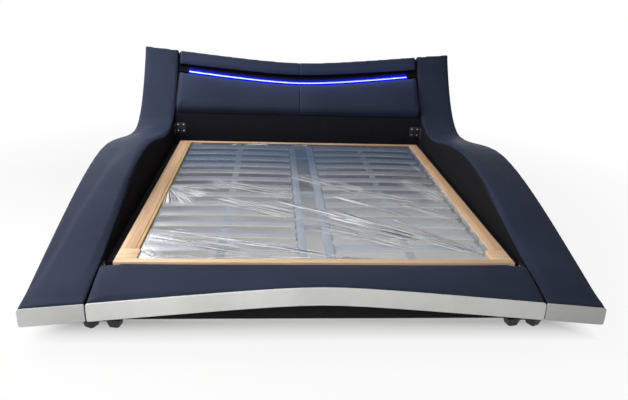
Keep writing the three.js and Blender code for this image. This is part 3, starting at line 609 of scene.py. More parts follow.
def wing_material(settings):
    """Leather on the wing's top and outside, black lining on the wall towards the mattress; that black,
    reaching up into the roll, is partly painted shade of the wall.
    """
    made = leather_material("Wing leather", settings.leather, settings.grain)
    tree = made.node_tree
    shader = tree.nodes["Principled BSDF"]
    normal = shader_node(tree, "ShaderNodeNewGeometry").outputs["True Normal"]
    inward = maths(tree, "MULTIPLY", split(tree, object_place(tree))["X"], split(tree, normal)["X"])
    # The wall facing the mattress takes the black lining colour; up into the roll it is partly painted shade
    lining_and_painted_shade = ranged(tree, inward, -0.62, -0.76)
    tint, rough = (shader.inputs[name].links[0].from_socket for name in ("Base Color", "Roughness"))
    blend = shader_node(tree, "ShaderNodeMix", {"Factor": lining_and_painted_shade, "A": rough, "B": 0.85})
    feed(
        tree, shader, Base_Color=mixed(tree, lining_and_painted_shade, tint, rgba(settings.lining)),
        Roughness=blend.outputs["Result"],
    )
    return made


def lining_material(name, tint):
    """Matt black non-woven lining with a dimpled face."""
    made, tree, shader, place = new_material(name, Specular_IOR_Level=0.15)
    finish_surface(
        tree, shader, mottled(tree, place, tint, scale=18.0, spread=0.16),
        rough_range(tree, place, 40.0, low=0.78, high=0.92),
        clouds(tree, place, scale=700.0, detail=5.0, roughness=0.7), depth=0.3 * MM, strength=0.8,
    )
    return made


def wood_material(name, tint, along):
    """Planed timber whose grain runs along one axis."""
    made, tree, shader, place = new_material(name, Specular_IOR_Level=0.35)
    figure_scale = [26.0, 26.0, 26.0]
    figure_scale[along] = 1.6
    pore_scale = [260.0, 260.0, 260.0]
    pore_scale[along] = 9.0
    figure = drawn_out(tree, place, figure_scale, detail=6.0, distortion=1.2)
    pores = drawn_out(tree, place, pore_scale, detail=4.0)
    grain = ramped(tree, figure, (0.36, tinted(tint, (0.86, 0.78, 0.68))), (0.62, rgba(tint, 1.05)))
    darker = ranged(tree, pores, 0.30, 0.48, low=0.78, high=1.0)
    finish_surface(
        tree, shader, mixed(tree, 1.0, grain, darker, blend="MULTIPLY"),
        rough_range(tree, place, 14.0, low=0.42, high=0.58), pores, depth=0.15 * MM, strength=0.5,
    )
    return made


def ply_material(name, tint):
    """Thin glued layers along the edge of a bent slat."""
    made, tree, shader, place = new_material(name, Specular_IOR_Level=0.35)
    layers = drawn_out(tree, place, (4.0, 60.0, 900.0))
    finish_surface(
        tree, shader, ramped(tree, layers, (0.35, tinted(tint, (0.88, 0.82, 0.72))), (0.6, rgba(tint))),
        rough_range(tree, place, 30.0, low=0.45, high=0.6), layers, depth=0.1 * MM, strength=0.5,
    )
    return made


def coated_material(name, tint, low, high, metallic=0.0, speck=420.0):
    """Painted, powder-coated or moulded surface with a fine orange peel."""
    made, tree, shader, place = new_material(name, Metallic=metallic)
    finish_surface(
        tree, shader, mottled(tree, place, tint, scale=7.0, spread=0.09),
        rough_range(tree, place, 25.0, low, high), clouds(tree, place, speck, detail=3.0),
        depth=0.12 * MM, strength=0.5,
    )
    return made


def belt_material(tint):
    """Woven belt: crossing ribs along and across it."""
    made, tree, shader, place = new_material("Woven belt", Specular_IOR_Level=0.25)
    ribs = [
        shader_node(
            tree, "ShaderNodeTexWave", {"Vector": place, "Scale": scale, "Distortion": 0.4},
            bands_direction=axis,
        ).outputs["Fac"]
        for axis, scale in (("X", 220.0), ("Y", 160.0))
    ]
    weave = maths(tree, "MULTIPLY", *ribs)
    finish_surface(
        tree, shader, ramped(tree, weave, (0.0, rgba(tint, 0.75)), (1.0, rgba(tint, 1.15))),
        rough_range(tree, place, 60.0, low=0.7, high=0.85), weave, depth=0.5 * MM, strength=0.8,
    )
    return made


def lit_material(name, attribute, stops, strength, base, roughness):
    """Glows in colours chosen by a value kept on the mesh."""
    made, tree, shader, place = new_material(name, Specular_IOR_Level=0.1, Emission_Strength=strength)
    colours = [(at, rgba(tint)) for at, tint in stops]
    feed(
        tree, shader, Base_Color=mottled(tree, place, base, scale=20.0, spread=0.1),
        Roughness=rough_range(tree, place, 30.0, roughness, roughness + 0.15),
        Emission_Color=ramped(tree, kept_value(tree, attribute), *colours),
    )
    return made


def film_material(tint):
    """Clear film, creased in lines of painted highlight and painted shade, with painted shade clouding it
    towards the head end.
    """
    made, tree, shader, place = new_material("Clear film", Specular_IOR_Level=0.6)
    crease = kept_value(tree, "crease", "Vector")
    lines = drawn_out(tree, crease, (1.6, 1.0, 0.0), detail=2.5, roughness=0.6)
    fold = split(tree, crease)["Z"]
    # Painted highlight lines (bright) and painted shade lines (dark) along the creases
    bright, dark = (
        maths(tree, "MULTIPLY", ranged(tree, lines, *limits), fold, clamp=True)
        for limits in (PAINTED_HIGHLIGHT_LINES, PAINTED_SHADE_LINES)
    )
    tone = maths(tree, "SUBTRACT", bright, dark)
    # Colour of the crease lines: painted shade dark grey, the film's tint, painted highlight white
    painted_crease_light = ramped(
        tree, ranged(tree, tone, -1.0, 1.0),
        (0.3, rgba((0.10, 0.11, 0.13))), (0.5, rgba(tint, 0.75)), (0.65, rgba((0.96, 0.98, 1.0))),
    )
    # Painted shade: the film is coloured and clouded darker towards the head end, standing for the dark below
    # it
    shade = kept_value(tree, "shade")
    below = ramped(
        tree, shade,
        (0.25, rgba((0.42, 0.44, 0.48))), (0.42, rgba((0.17, 0.23, 0.35))),
        (1.0, rgba((0.035, 0.045, 0.075))),
    )
    painted_glint = maths(tree, "MULTIPLY", bright, 2.0, clamp=True)
    painted_shade_cover = maths(tree, "SUBTRACT", shade, painted_glint, clamp=True)
    share = maths(tree, "MULTIPLY", painted_shade_cover, 2.5, clamp=True)
    mirror = ranged(tree, bright, 0.0, 0.3, low=1.0, high=0.0)
    clear = ranged(tree, clouds(tree, place, scale=2.6, detail=3.0), 0.35, 0.70, low=0.10, high=0.24)
    cover = maths(tree, "MULTIPLY_ADD", bright, 0.95, clear)
    cover = maths(tree, "MULTIPLY_ADD", dark, 0.40, cover)
    cover = maths(tree, "MULTIPLY_ADD", kept_value(tree, "hem"), 0.08, cover, clamp=True)
    finish_surface(
        tree, shader, mixed(tree, share, painted_crease_light, below), rough_range(tree, place, 5.0, 0.10, 0.22), tone,
        depth=1.0 * MM, strength=0.6,
    )
    feed(
        tree, shader, Metallic=maths(tree, "MULTIPLY_ADD", share, -1.0, mirror, clamp=True),
        Alpha=maths(tree, "MULTIPLY_ADD", painted_shade_cover, 0.45, cover, clamp=True),
    )
    return made


def floor_material(settings):
    """Pale floor, seen white round the bed; below the bed its colour is painted darker towards the head as
    painted shade, and lifted towards the foot as painted light.
    """
    made, tree, shader, place = new_material("Pale floor", Roughness=0.9, Specular_IOR_Level=0.0)
    away = split(tree, shader_node(tree, "ShaderNodeVectorMath", {0: place}, operation="ABSOLUTE").outputs[0])
    along = split(tree, place)["Y"]
    far = shader_node(tree, "ShaderNodeVectorMath", {0: place}, operation="LENGTH").outputs["Value"]
    # Painted shade: below the bed the floor's colour darkens from foot to head
    depth = ramped(
        tree, ranged(tree, along, *FLOOR_PAINTED_SHADE),
        (0.0, rgba(settings.floor)), (1.0, rgba(settings.floor_painted_shade)),
    )
    feed(tree, shader, Base_Color=depth)
    open_floor = maths(
        tree, "MAXIMUM", ranged(tree, away["X"], *FLOOR_BESIDE), ranged(tree, away["Y"], *FLOOR_BEFORE)
    )
    # Painted light: the floor below the bed is lifted towards white, most at the foot
    inside = ranged(tree, along, *FLOOR_PAINTED_LIGHT, low=settings.floor_painted_light, high=0.0)
    lift = maths(tree, "MULTIPLY", seen_directly(tree), maths(tree, "MAXIMUM", inside, open_floor))
    share = maths(tree, "MULTIPLY", lift, ranged(tree, far, *FLOOR_FAR, low=settings.floor_white))
    white = shader_node(tree, "ShaderNodeEmission", {"Color": (1, 1, 1, 1), "Strength": 1.0})
    mix = shader_node(
        tree, "ShaderNodeMixShader", {0: share, 1: shader.outputs["BSDF"], 2: white.outputs["Emission"]}
    )
    tree.links.new(mix.outputs["Shader"], tree.nodes["Material Output"].inputs["Surface"])
    return made


# Padding

def plump(piece, voxel, edge, rounds, held, crisp=lambda co: False):
    """Rounds a padded piece, then swells it under its leather, holding what rests on wood."""
    apply_modifier(
        piece, "BEVEL", width=edge, segments=4, limit_method="ANGLE", angle_limit=math.radians(40)
    )
    form = copied(piece, "rounded_form")
    select_only(piece)
    piece.data.remesh_voxel_size = voxel
    bpy.ops.object.voxel_remesh()
    apply_modifier(piece, "SHRINKWRAP", target=form, wrap_method="NEAREST_SURFACEPOINT")
    bpy.data.objects.remove(form)
    loose = piece.vertex_groups.new(name="loose")
    loose.add([vertex.index for vertex in piece.data.vertices if not crisp(vertex.co)], 1.0, "REPLACE")
    apply_modifier(piece, "SMOOTH", factor=0.5, iterations=rounds, vertex_group=loose.name)
    swell(piece, held)
    piece.vertex_groups.clear()
    apply_modifier(piece, "SUBSURF", levels=1, render_levels=1)
    smooth(piece, 60)


def swell(piece, held, frames=20):
    """Lets the padding push the leather out by cloth simulation, no further than the cap."""
    settings = bpy.context.scene.bed_upholstery
    start = [vertex.co.copy() for vertex in piece.data.vertices]
    group = piece.vertex_groups.new(name="held")
    still = [vertex.index for vertex in piece.data.vertices if held(vertex.co, vertex.normal)]
    group.add(still, 1.0, "REPLACE")
    cloth = piece.modifiers.new("Cloth", "CLOTH")
    cloth.settings.quality = 4
    cloth.settings.use_pressure = True
    cloth.settings.uniform_pressure_force = settings.pressure
    cloth.settings.vertex_group_mass = group.name
    cloth.settings.effector_weights.gravity = 0
    cloth.point_cache.frame_start = 1
    cloth.point_cache.frame_end = frames
    for number in range(1, frames + 1):
        bpy.context.scene.frame_set(number)
    bpy.ops.object.modifier_apply(modifier=cloth.name)
    bpy.context.scene.frame_set(1)
    for vertex, was in zip(piece.data.vertices, start):
        move = vertex.co - was
        if move.length > settings.swell_cap:
            vertex.co = was + move.normalized() * settings.swell_cap


def sew_middle(piece, inward):
    """Cuts a fine mesh down the middle of a pad and draws the leather into a seam there."""
    settings = bpy.context.scene.bed_upholstery
    reach = settings.seam_reach
    cut_across(piece, [share * reach for share in SEAM_CUTS])
    for vertex in piece.data.vertices:
        run = abs(vertex.co.x) / reach
        if run < 1.0 and vertex.normal.dot(inward) < -0.3:
            vertex.co += inward * settings.seam_depth * (1 - run) ** 2
    smooth(piece, 60)


class BED_OT_wings(bpy.types.Operator):
    """Padded leather wings, swelled on one side and mirrored to the other"""

    bl_idname = "leather_bed.wings"
    bl_label = "Side wings"

    rounds: bpy.props.IntProperty(name="Rounding", description="Smoothing passes", default=6, min=0)
    crisp_end: length("Crisp end", "Length at the foot end that isn't smoothed", 30 * MM)
    held_end: length("Held end", "Length at the foot end that doesn't swell", 45 * MM)
    held_wall: length("Held wall", "Depth of the flat wall that doesn't swell", 2 * MM)
    held_base: length("Held base", "Height above the wing's lowest point that doesn't swell", 15 * MM)

    def execute(self, context):
        settings = context.scene.bed_upholstery
        finish = wing_material(settings)
        low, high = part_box("left_wing")

        def held(co, normal):
            under = normal.z < -0.4 or co.z < low[2] + self.held_base
            return under or co.x > high[0] - self.held_wall or co.y < low[1] + self.held_end

        left = node_copy("left_wing", "left_wing_leather")
        plump(
            left, settings.wing_voxel, settings.wing_edge, self.rounds, held,
            lambda co: co.y < low[1] + self.crisp_end,
        )
        right = mirrored(left, "right_wing_leather")
        for side, piece in (("left", left), ("right", right)):
            dress(piece, BED, [f"{side}_wing"], [finish])
        return {"FINISHED"}


class BED_OT_footboard(bpy.types.Operator):
    """Padded leather footboard, running from the slat base down to its arched edge"""

    bl_idname = "leather_bed.footboard"
    bl_label = "Footboard"

    rounds: bpy.props.IntProperty(name="Rounding", description="Smoothing passes", default=3, min=0)

    def execute(self, context):
        settings = context.scene.bed_upholstery
        piece = node_copy("footboard", "footboard_leather")
        plump(
            piece, settings.pad_voxel, settings.pad_edge, self.rounds, lambda co, normal: normal.z < 0.25
        )
        finish = leather_material("Footboard leather", settings.leather, settings.grain)
        dress(piece, BED, ["footboard"], [finish])
        return {"FINISHED"}


class BED_OT_headboard_pads(bpy.types.Operator):
    """Upper and lower headboard pads with the seam down their middle"""

    bl_idname = "leather_bed.headboard_pads"
    bl_label = "Headboard pads"

    row: length("Row", "Height of the rows in which the pad's back is found", 8 * MM)
    front_depth: length("Front depth", "Depth from the pad's back at which it counts as its front", 36 * MM)
    # Reach and fade of the bar's painted light on the pads
    painted_light_reach: length("Lit reach", "Distance from the bar's middle up to which it lights fully", 18 * MM)
    painted_light_fade: length("Lit fade", "Distance over which the bar's light falls to about a third", 45 * MM)

    def execute(self, context):
        settings = context.scene.bed_upholstery
        lamp = context.scene.bed_lamp
        finish = leather_material("Headboard leather", settings.leather, settings.grain)
        # Painted light of the bar, as emission on the headboard leather
        paint_bar_light(finish, lamp.spread, lamp.painted_leather_light_strength)
        for word, lean in PAD_LEANS.items():
            angle = math.radians(lean)
            inward = Vector((0.0, math.sin(angle), -math.cos(angle)))
            piece = node_copy(f"headboard_{word}_pad", f"headboard_{word}_pad_leather")
            plump(
                piece, settings.pad_voxel, settings.pad_edge, settings.pad_rounds,
                lambda co, normal: normal.dot(inward) > 0.2,
            )
            if word == "lower":
                self.tuck(piece, settings.tuck_depth, settings.tuck_height)
            sew_middle(piece, inward)
            self.keep_near(piece)
            dress(piece, BED, [f"headboard_{word}_pad"], [finish])
        return {"FINISHED"}

    def tuck(self, piece, depth, height):
        """Draws the pad's front back towards its lower edge, on a rounded profile."""
        points = points_of(piece)
        above = points[:, 2] - points[:, 2].min()
        rows = (above / self.row).astype(int)
        back = np.full(rows.max() + 1, -np.inf)
        np.maximum.at(back, rows, points[:, 1])
        front = np.clip((back[rows] - points[:, 1]) / self.front_depth, 0, 1)
        up = np.clip(above / height, 0, 1)
        points[:, 1] += front * depth * (1 - np.sqrt(1 - (1 - up) ** 2))
        put_points(piece, points)

    def keep_near(self, piece):
        """Keeps on a pad's mesh how near each point is to the light bar, for the bar's painted light."""
        bar = points_of(frame["nodes"]["light_bar"])
        points = points_of(piece)
        stations = np.unique(bar[:, 0].round(4))
        middles = np.array([bar[np.abs(bar[:, 0] - x) < 1 * MM].mean(axis=0) for x in stations])
        inside = np.clip(points[:, 0], stations[0], stations[-1])
        bar_y, bar_z = (np.interp(inside, stations, middles[:, axis]) for axis in (1, 2))
        distance = np.linalg.norm(points - np.stack((inside, bar_y, bar_z), axis=1), axis=1)
        keep(piece, "near", np.exp(-np.clip(distance - self.painted_light_reach, 0, None) / self.painted_light_fade))


class BED_OT_bands(bpy.types.Operator):
    """Pale leather bands along the foot edge, with rounded ends"""

    bl_idname = "leather_bed.bands"
    bl_label = "Foot bands"

    corner: length("Corner", "Radius of the bands' corners", 8 * MM)
    edge: length("Edge", "Width of the rounding along the bands' edges", 3.4 * MM)

    def execute(self, context):
        settings = context.scene.bed_upholstery
        look = {"grain": settings.grain, "low": 0.45, "high": 0.55, "level": 0.35}
        middle = leather_material("Pale leather", settings.pale_leather, **look)
        # The end bands take a darker copy of the pale leather as painted shade
        ends = leather_material("End band leather", settings.end_leather_painted_shade, **look)
        for node in ("left_end_band", "foot_band", "right_end_band"):
            piece = node_copy(node, f"{node}_leather")
            left, right = (corner[0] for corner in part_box(node))
            cut_across(piece, [left + self.corner * share for share in CORNER_CUTS])
            cut_across(piece, [right - self.corner * share for share in CORNER_CUTS])
            self.round_ends(piece, left, right)
            soften(piece, self.edge, 4, 50)
            dress(piece, BED, [node], [middle if node == "foot_band" else ends])
        return {"FINISHED"}

    def round_ends(self, piece, left, right):
        """Draws the ends of a band in, so that its corners are round."""
        middles = {}
        for vertex in piece.data.vertices:
            middles.setdefault(round(vertex.co.x, 5), []).append(vertex.co.z)
        middles = {x: (min(heights) + max(heights)) / 2 for x, heights in middles.items()}
        for vertex in piece.data.vertices:
            inside = min(vertex.co.x - left, right - vertex.co.x)
            if inside < self.corner:
                draw = self.corner - math.sqrt(self.corner**2 - (self.corner - inside) ** 2)
                below = vertex.co.z < middles[round(vertex.co.x, 5)]
                vertex.co.z += draw if below else -draw


class BED_OT_boards(bpy.types.Operator):
    """Lined plinth, headboard carcass and ledgers"""

    bl_idname = "leather_bed.boards"
    bl_label = "Plinth, carcass and ledgers"

    edge: length("Edge", "Softening of the boards' edges", 2 * MM)
    clearance: length("Clearance", "Gap between the carcass's ends and the wings", 1 * MM)

    def execute(self, context):
        settings = context.scene.bed_upholstery
        lining = lining_material("Black lining", settings.lining)
        upright = lining_material("Upright cover", settings.upright)
        plinth = node_copy("plinth", "plinth_lined")
        carcass = node_copy("headboard_frame", "headboard_frame_lined")
        self.widen(carcass)
        for node, piece, finish in (("plinth", plinth, lining), ("headboard_frame", carcass, upright)):
            soften(piece, self.edge)
            dress(piece, BED, [node], [finish])
        for word in SIDES:
            piece = block(f"{word}_ledger_batten", *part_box(f"{word}_ledger"), self.edge)
            dress(piece, BED, [f"{word}_ledger"], [upright])
        return {"FINISHED"}

    def widen(self, carcass):
        """Brings the carcass's ends out to the wings."""
        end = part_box("headboard_lower_pad")[1][0]
        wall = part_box("right_ledger")[1][0] - self.clearance
        for vertex in carcass.data.vertices:
            if abs(abs(vertex.co.x) - end) < 1 * MM:
                vertex.co.x = math.copysign(wall, vertex.co.x)


class BED_OT_light(bpy.types.Operator):
    """Glowing bar in its dark trough, with the bar's light painted on the trough as glow"""

    bl_idname = "leather_bed.light"
    bl_label = "Light bar"

    fade: length("Fade", "Length past the bar's ends over which its glow stops", 12 * MM)
    # Height of the slope that carries the trough's painted glow
    spill: length("Spill", "Height of the slope over which the trough is lit", 70 * MM)
    edge: length("Edge", "Rounding of the bar's edges", 3 * MM)

    def execute(self, context):
        settings = context.scene.bed_lamp
        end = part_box("light_bar")[1][0]
        self.trough(settings, end)
        self.bar(settings, end)
        return {"FINISHED"}

    def trough(self, settings, end):
        piece = node_copy("light_channel", "light_trough")
        for x in (end, end + self.fade):
            cut_across(piece, (-x, x))
        self.keep_share(piece, "spill", end + self.fade / 2, self.spill)
        glow = [(at, [value * part for value in settings.glow]) for at, part in TROUGH_PAINTED_GLOW]
        # Painted light: the trough glows in the bar's colour, brightest at the slope's foot by the bar
        finish = lit_material("Trough", "spill", glow, settings.painted_trough_glow, (0.0015, 0.0015, 0.002), 0.7)
        smooth(piece, 40)
        dress(piece, BED, ["light_channel"], [finish])

    def bar(self, settings, end):
        piece = node_copy("light_bar", "light_bar_diffuser")
        soften(piece, self.edge, 3, 60)
        self.keep_share(piece, "across", 2 * end)
        glow, core = settings.glow, settings.core
        edge = [0.85 * outer + 0.15 * inner for outer, inner in zip(glow, core)]
        section = (
            (0.0, [0.20 * value for value in glow]), (0.22, [0.55 * value for value in glow]),
            (0.44, glow), (0.54, edge), (0.63, core), (0.76, core), (0.85, edge), (1.0, glow),
        )
        finish = lit_material("Diffuser", "across", section, settings.core_strength, (0.6, 0.65, 0.7), 0.3)
        dress(piece, BED, ["light_bar"], [finish])

    def keep_share(self, piece, name, reach, span=0.0):
        """Keeps how near the slope's foot each point lies, as a share of a span or of its cross-section."""
        angle = math.radians(BAR_LEAN)
        down = Vector((0.0, -math.cos(angle), -math.sin(angle)))
        sections = {}
        for vertex in piece.data.vertices:
            sections.setdefault(round(vertex.co.x, 3), []).append(vertex.co.dot(down))
        shares = []
        for vertex in piece.data.vertices:
            values = sections[round(vertex.co.x, 3)]
            share = 1 - (max(values) - vertex.co.dot(down)) / (span or max(values) - min(values))
            shares.append(share if abs(vertex.co.x) < reach else 0.0)
        keep(piece, name, np.array(shares))


class BED_OT_rails(bpy.types.Operator):
    """Beech rails and the paler corner blocks of the slat base"""

    bl_idname = "leather_bed.rails"
    bl_label = "Wooden rails"

    def execute(self, context):
        settings = context.scene.bed_slat_base
        between = [(dark + pale) / 2 for dark, pale in zip(settings.beech, settings.pale_wood)]
        across = wood_material("Beech across", settings.beech, 0)
        along = wood_material("Beech along", settings.beech, 1)
        pale = wood_material("Pale wood", settings.pale_wood, 0)
        foot = wood_material("Pale beech", between, 0)
        finishes = {
            "foot_rail": (foot, "beech"), "head_rail": (across, "beech"),
            "left_rail": (along, "beech"), "right_rail": (along, "beech"),
            "left_corner_block": (pale, "pale_wood"), "right_corner_block": (pale, "pale_wood"),
        }
        for node, (finish, slot) in finishes.items():
            piece = block(f"{node}_wood", *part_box(node), settings.rail_edge)
            dress(piece, BASE, [node], [finish])
        return {"FINISHED"}


class BED_OT_bead(bpy.types.Operator):
    """Thin wooden bead along the left rail that holds down the film's edge"""

    bl_idname = "leather_bed.bead"
    bl_label = "Film bead"

    width: length("Width", "How far the bead reaches over the film", 17 * MM)
    height: length("Height", "Height of the bead", 7 * MM)
    edge: length("Edge", "Rounding of the bead's edges", 3 * MM)
    gap: length("Gap", "Gap between the bead and the rail", 0.3 * MM)
    lift: length("Lift", "Gap between the bead and the film", 1 * MM)

    def execute(self, context):
        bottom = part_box("protective_film")[1][2] + self.lift
        low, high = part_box("left_rail")
        inner = high[0] + self.gap
        piece = block(
            "left_film_bead", (inner, low[1], bottom),
            (inner + self.width, high[1], bottom + self.height), self.edge, 3,
        )
        # The bead's darker beech is painted shade
        dress(piece, BASE, [], [wood_material("Bead", context.scene.bed_slat_base.bead, 1)])
        return {"FINISHED"}


class BED_OT_slats(bpy.types.Operator):
    """Cambered plywood slats with foil faces and pale layered edges"""

    bl_idname = "leather_bed.slats"
    bl_label = "Sprung slats"

    pocket: length("Pocket", "Length of the level end inside its holder", 13.5 * MM)
    rounding: length("Rounding", "Rounding of the slat's edges, where the bare wood shows", 3.5 * MM)

    def execute(self, context):
        settings = context.scene.bed_slat_base
        foil = coated_material("Grey foil", settings.slat, 0.28, 0.38, metallic=0.35, speck=160.0)
        edge = ply_material("Plywood edge", settings.ply)
        low, high, pitch = first_slat()
        pattern = self.slat(low, high, settings.slat_thickness)
        for word, side in SIDES.items():
            for row in range(SLAT_ROWS):
                name = f"{word}_slat_{row + 1}"
                piece = copied(pattern, f"{name}_ply")
                edit_all(piece, lambda: bpy.ops.transform.translate(value=(0, row * pitch, 0)))
                if side > 0:
                    turn_over(piece)
                dress(piece, BASE, [name], [foil, edge])
                for face in piece.data.polygons:
                    face.material_index = 0 if abs(face.normal.z) > 0.96 else 1
        bpy.data.objects.remove(pattern)
        return {"FINISHED"}

    def slat(self, low, high, thickness):
        """One slat, level in its pockets and bowed up between them."""
        piece = level_grid("slat_pattern", (24, 2), low, high, low[2] + thickness)
        rise = high[2] - low[2] - thickness
        start = low[0] + self.pocket
        end = high[0] - self.pocket
        for vertex in piece.data.vertices:
            run = min(1.0, max(0.0, (vertex.co.x - start) / (end - start)))
            vertex.co.z += rise * (1 - (2 * run - 1) ** 2)
        apply_modifier(piece, "SOLIDIFY", thickness=thickness, offset=-1)
        edit_all(piece, lambda: bpy.ops.mesh.normals_make_consistent(inside=False))
        soften(piece, self.rounding, 3)
        return piece


class BED_OT_holders(bpy.types.Operator):
    """Slat holders along the side rails and a cap on each slat at the centre rails"""

    bl_idname = "leather_bed.holders"
    bl_label = "Slat holders"

    cap_reach: length("Cap reach", "How far a cap stands out of the centre rail", 9 * MM)
    cap_wall: length("Cap wall", "How much wider and thicker a cap is than its slat", 3.5 * MM)
    cap_edge: length("Cap edge", "Rounding of a cap's edges", 2 * MM)
    strip_edge: length("Strip edge", "Rounding of the holder strip's edges", 1 * MM)

    def execute(self, context):
        settings = context.scene.bed_slat_base
        finish = coated_material("Olive moulding", settings.holder, 0.4, 0.55, speck=300.0)
        low, high, pitch = first_slat()
        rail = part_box("centre_frame")[0][0]
        bottom = low[2] - self.cap_wall
        top = low[2] + settings.slat_thickness + self.cap_wall
        for word, side in SIDES.items():
            strip = node_copy(f"{word}_slat_holder", f"{word}_holder_strip")
            soften(strip, self.strip_edge)
            dress(strip, BASE, [f"{word}_slat_holder"], [finish])
            inner, outer = sorted((-side * (rail - self.cap_reach), -side * rail))
            caps = []
            for row in range(SLAT_ROWS):
                start = low[1] + row * pitch - self.cap_wall
                end = high[1] + row * pitch + self.cap_wall
                caps.append(block("slat_cap", (inner, start, bottom), (outer, end, top), self.cap_edge))
            dress(join(f"{word}_slat_caps", caps), BASE, [], [finish])
        return {"FINISHED"}


class BED_OT_centre_frame(bpy.types.Operator):
    """Welded steel frame under the middle of the slat base"""

    bl_idname = "leather_bed.centre_frame"
    bl_label = "Centre frame"

    edge: length("Edge", "Rounding of the tubes' edges", 1.2 * MM)

    def execute(self, context):
        finish = coated_material("Powder coat", context.scene.bed_slat_base.steel, 0.35, 0.5, speck=520.0)
        piece = node_copy("centre_frame", "centre_frame_steel")
        soften(piece, self.edge)
        dress(piece, BASE, ["centre_frame"], [finish])
        return {"FINISHED"}


class BED_OT_belts(bpy.types.Operator):
    """Woven belts that sag a little between the slats"""

    bl_idname = "leather_bed.belts"
    bl_label = "Belts"

    sag: length("Sag", "How far a belt hangs between two slats", 3 * MM)
    edge: length("Edge", "Rounding of a belt's edges", 0.5 * MM)

    def execute(self, context):
        finish = belt_material(context.scene.bed_slat_base.belt)
        slat_low, slat_high, pitch = first_slat()
        middle = (slat_low[1] + slat_high[1]) / 2
        for word in SIDES:
            low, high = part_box(f"{word}_slat_belt")
            piece = level_grid(f"{word}_belt", (4, SLAT_ROWS * 8), low, high, high[2])
            for vertex in piece.data.vertices:
                run = (vertex.co.y - middle) / pitch
                vertex.co.z -= self.sag * math.sin(math.pi * run) ** 2
            apply_modifier(piece, "SOLIDIFY", thickness=high[2] - low[2], offset=-1)
            soften(piece, self.edge, 1)
            dress(piece, BASE, [f"{word}_slat_belt"], [finish])
        return {"FINISHED"}


class BED_OT_film(bpy.types.Operator):
    """Clear film stretched over the slats, with fans of creases"""

    bl_idname = "leather_bed.film"
    bl_label = "Protective film"

    settle: length("Settle", "Width along the film's edge over which it lies flat", 40 * MM)
    curl: length("Curl", "How far the film rises at the head rail and the right rail", 8 * MM)
    head_curl: length("Curl at the head", "Width of the rise along the head rail", 30 * MM)
    side_curl: length("Curl at the side", "Width of the rise along the right rail", 14 * MM)

    def execute(self, context):
        settings = context.scene.bed_slat_base
        low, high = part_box("protective_film")
        flat = (high[0] - low[0], high[1] - low[1])
        cells = [round(side / settings.film_cell) for side in flat]
        piece = level_grid("film_sheet", cells, low, high, low[2])
        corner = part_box("left_corner_block")[1]
        delete_faces(piece, lambda centre: abs(centre.x) > abs(corner[0]) and centre.y < corner[1])
        self.crease(piece, low, high, settings.crease)
        apply_modifier(piece, "SOLIDIFY", thickness=high[2] - low[2], offset=1)
        smooth(piece, 60)
        dress(piece, BASE, ["protective_film"], [film_material(settings.film)])
        return {"FINISHED"}

    def crease(self, piece, low, high, tallest):
        """Lifts the sheet along its creases and edges, and keeps what its material reads."""
        points = points_of(piece)
        kept = self.creases(points)
        left, right = points[:, 0] - low[0], high[0] - points[:, 0]
        behind = high[1] - points[:, 1]
        inside = np.minimum.reduce((left, right, points[:, 1] - low[1], behind))
        swell = np.array([noise.noise(Vector((run * 1.6, spread, 0.0))) for run, spread, fade in kept])
        drift = np.array([noise.noise(Vector((x * 3.0, y * 5.0, 0.0))) for x, y, z in points])
        fold = 0.8 * np.clip(kept[:, 2], 0, 1) * np.clip(swell + 0.5, 0, None)
        points[:, 2] += np.clip(inside / self.settle, 0, 1) * tallest * (0.1 + 0.1 * drift + fold)
        rise = np.clip(1 - np.minimum(behind / self.head_curl, right / self.side_curl), 0, 1)
        points[:, 2] += self.curl * rise * rise
        put_points(piece, points)
        hem = profile(points[:, 1], FILM_HEM_FADE) * profile(left / MM, FILM_HEM_LEFT)
        keep(piece, "hem", hem + profile(right / MM, FILM_HEM_RIGHT))
        # Painted shade, strongest at the head end
        keep(piece, "shade", profile(behind, FILM_PAINTED_SHADE))
        keep(piece, "crease", kept, "FLOAT_VECTOR")

    def creases(self, points):
        """For the strongest crease at each point: its run, its spread and its strength there."""
        kept = np.zeros(points.shape)
        for number, (start, end, near, far, lines, strength) in enumerate(FILM_CREASES):
            along = np.array(end) - np.array(start)
            reach = math.hypot(*along)
            along = along / reach
            away = points[:, :2] - np.array(start)
            run = away @ along / reach
            spread = away @ np.array((-along[1], along[0])) / (near + (far - near) * np.clip(run, 0, 1))
            tips = np.clip(CREASE_TIP_RATE * np.minimum(run, 1 - run), 0, 1)
            fade = strength * tips * np.clip(1 - spread * spread, 0, 1)
            runs = run * reach * LINES_ALONG + number * CREASE_STEP
            values = np.stack((runs, (spread + 1) * lines * LINES_ACROSS, fade), axis=1)
            better = fade > kept[:, 2]
            kept[better] = values[better]
        return kept


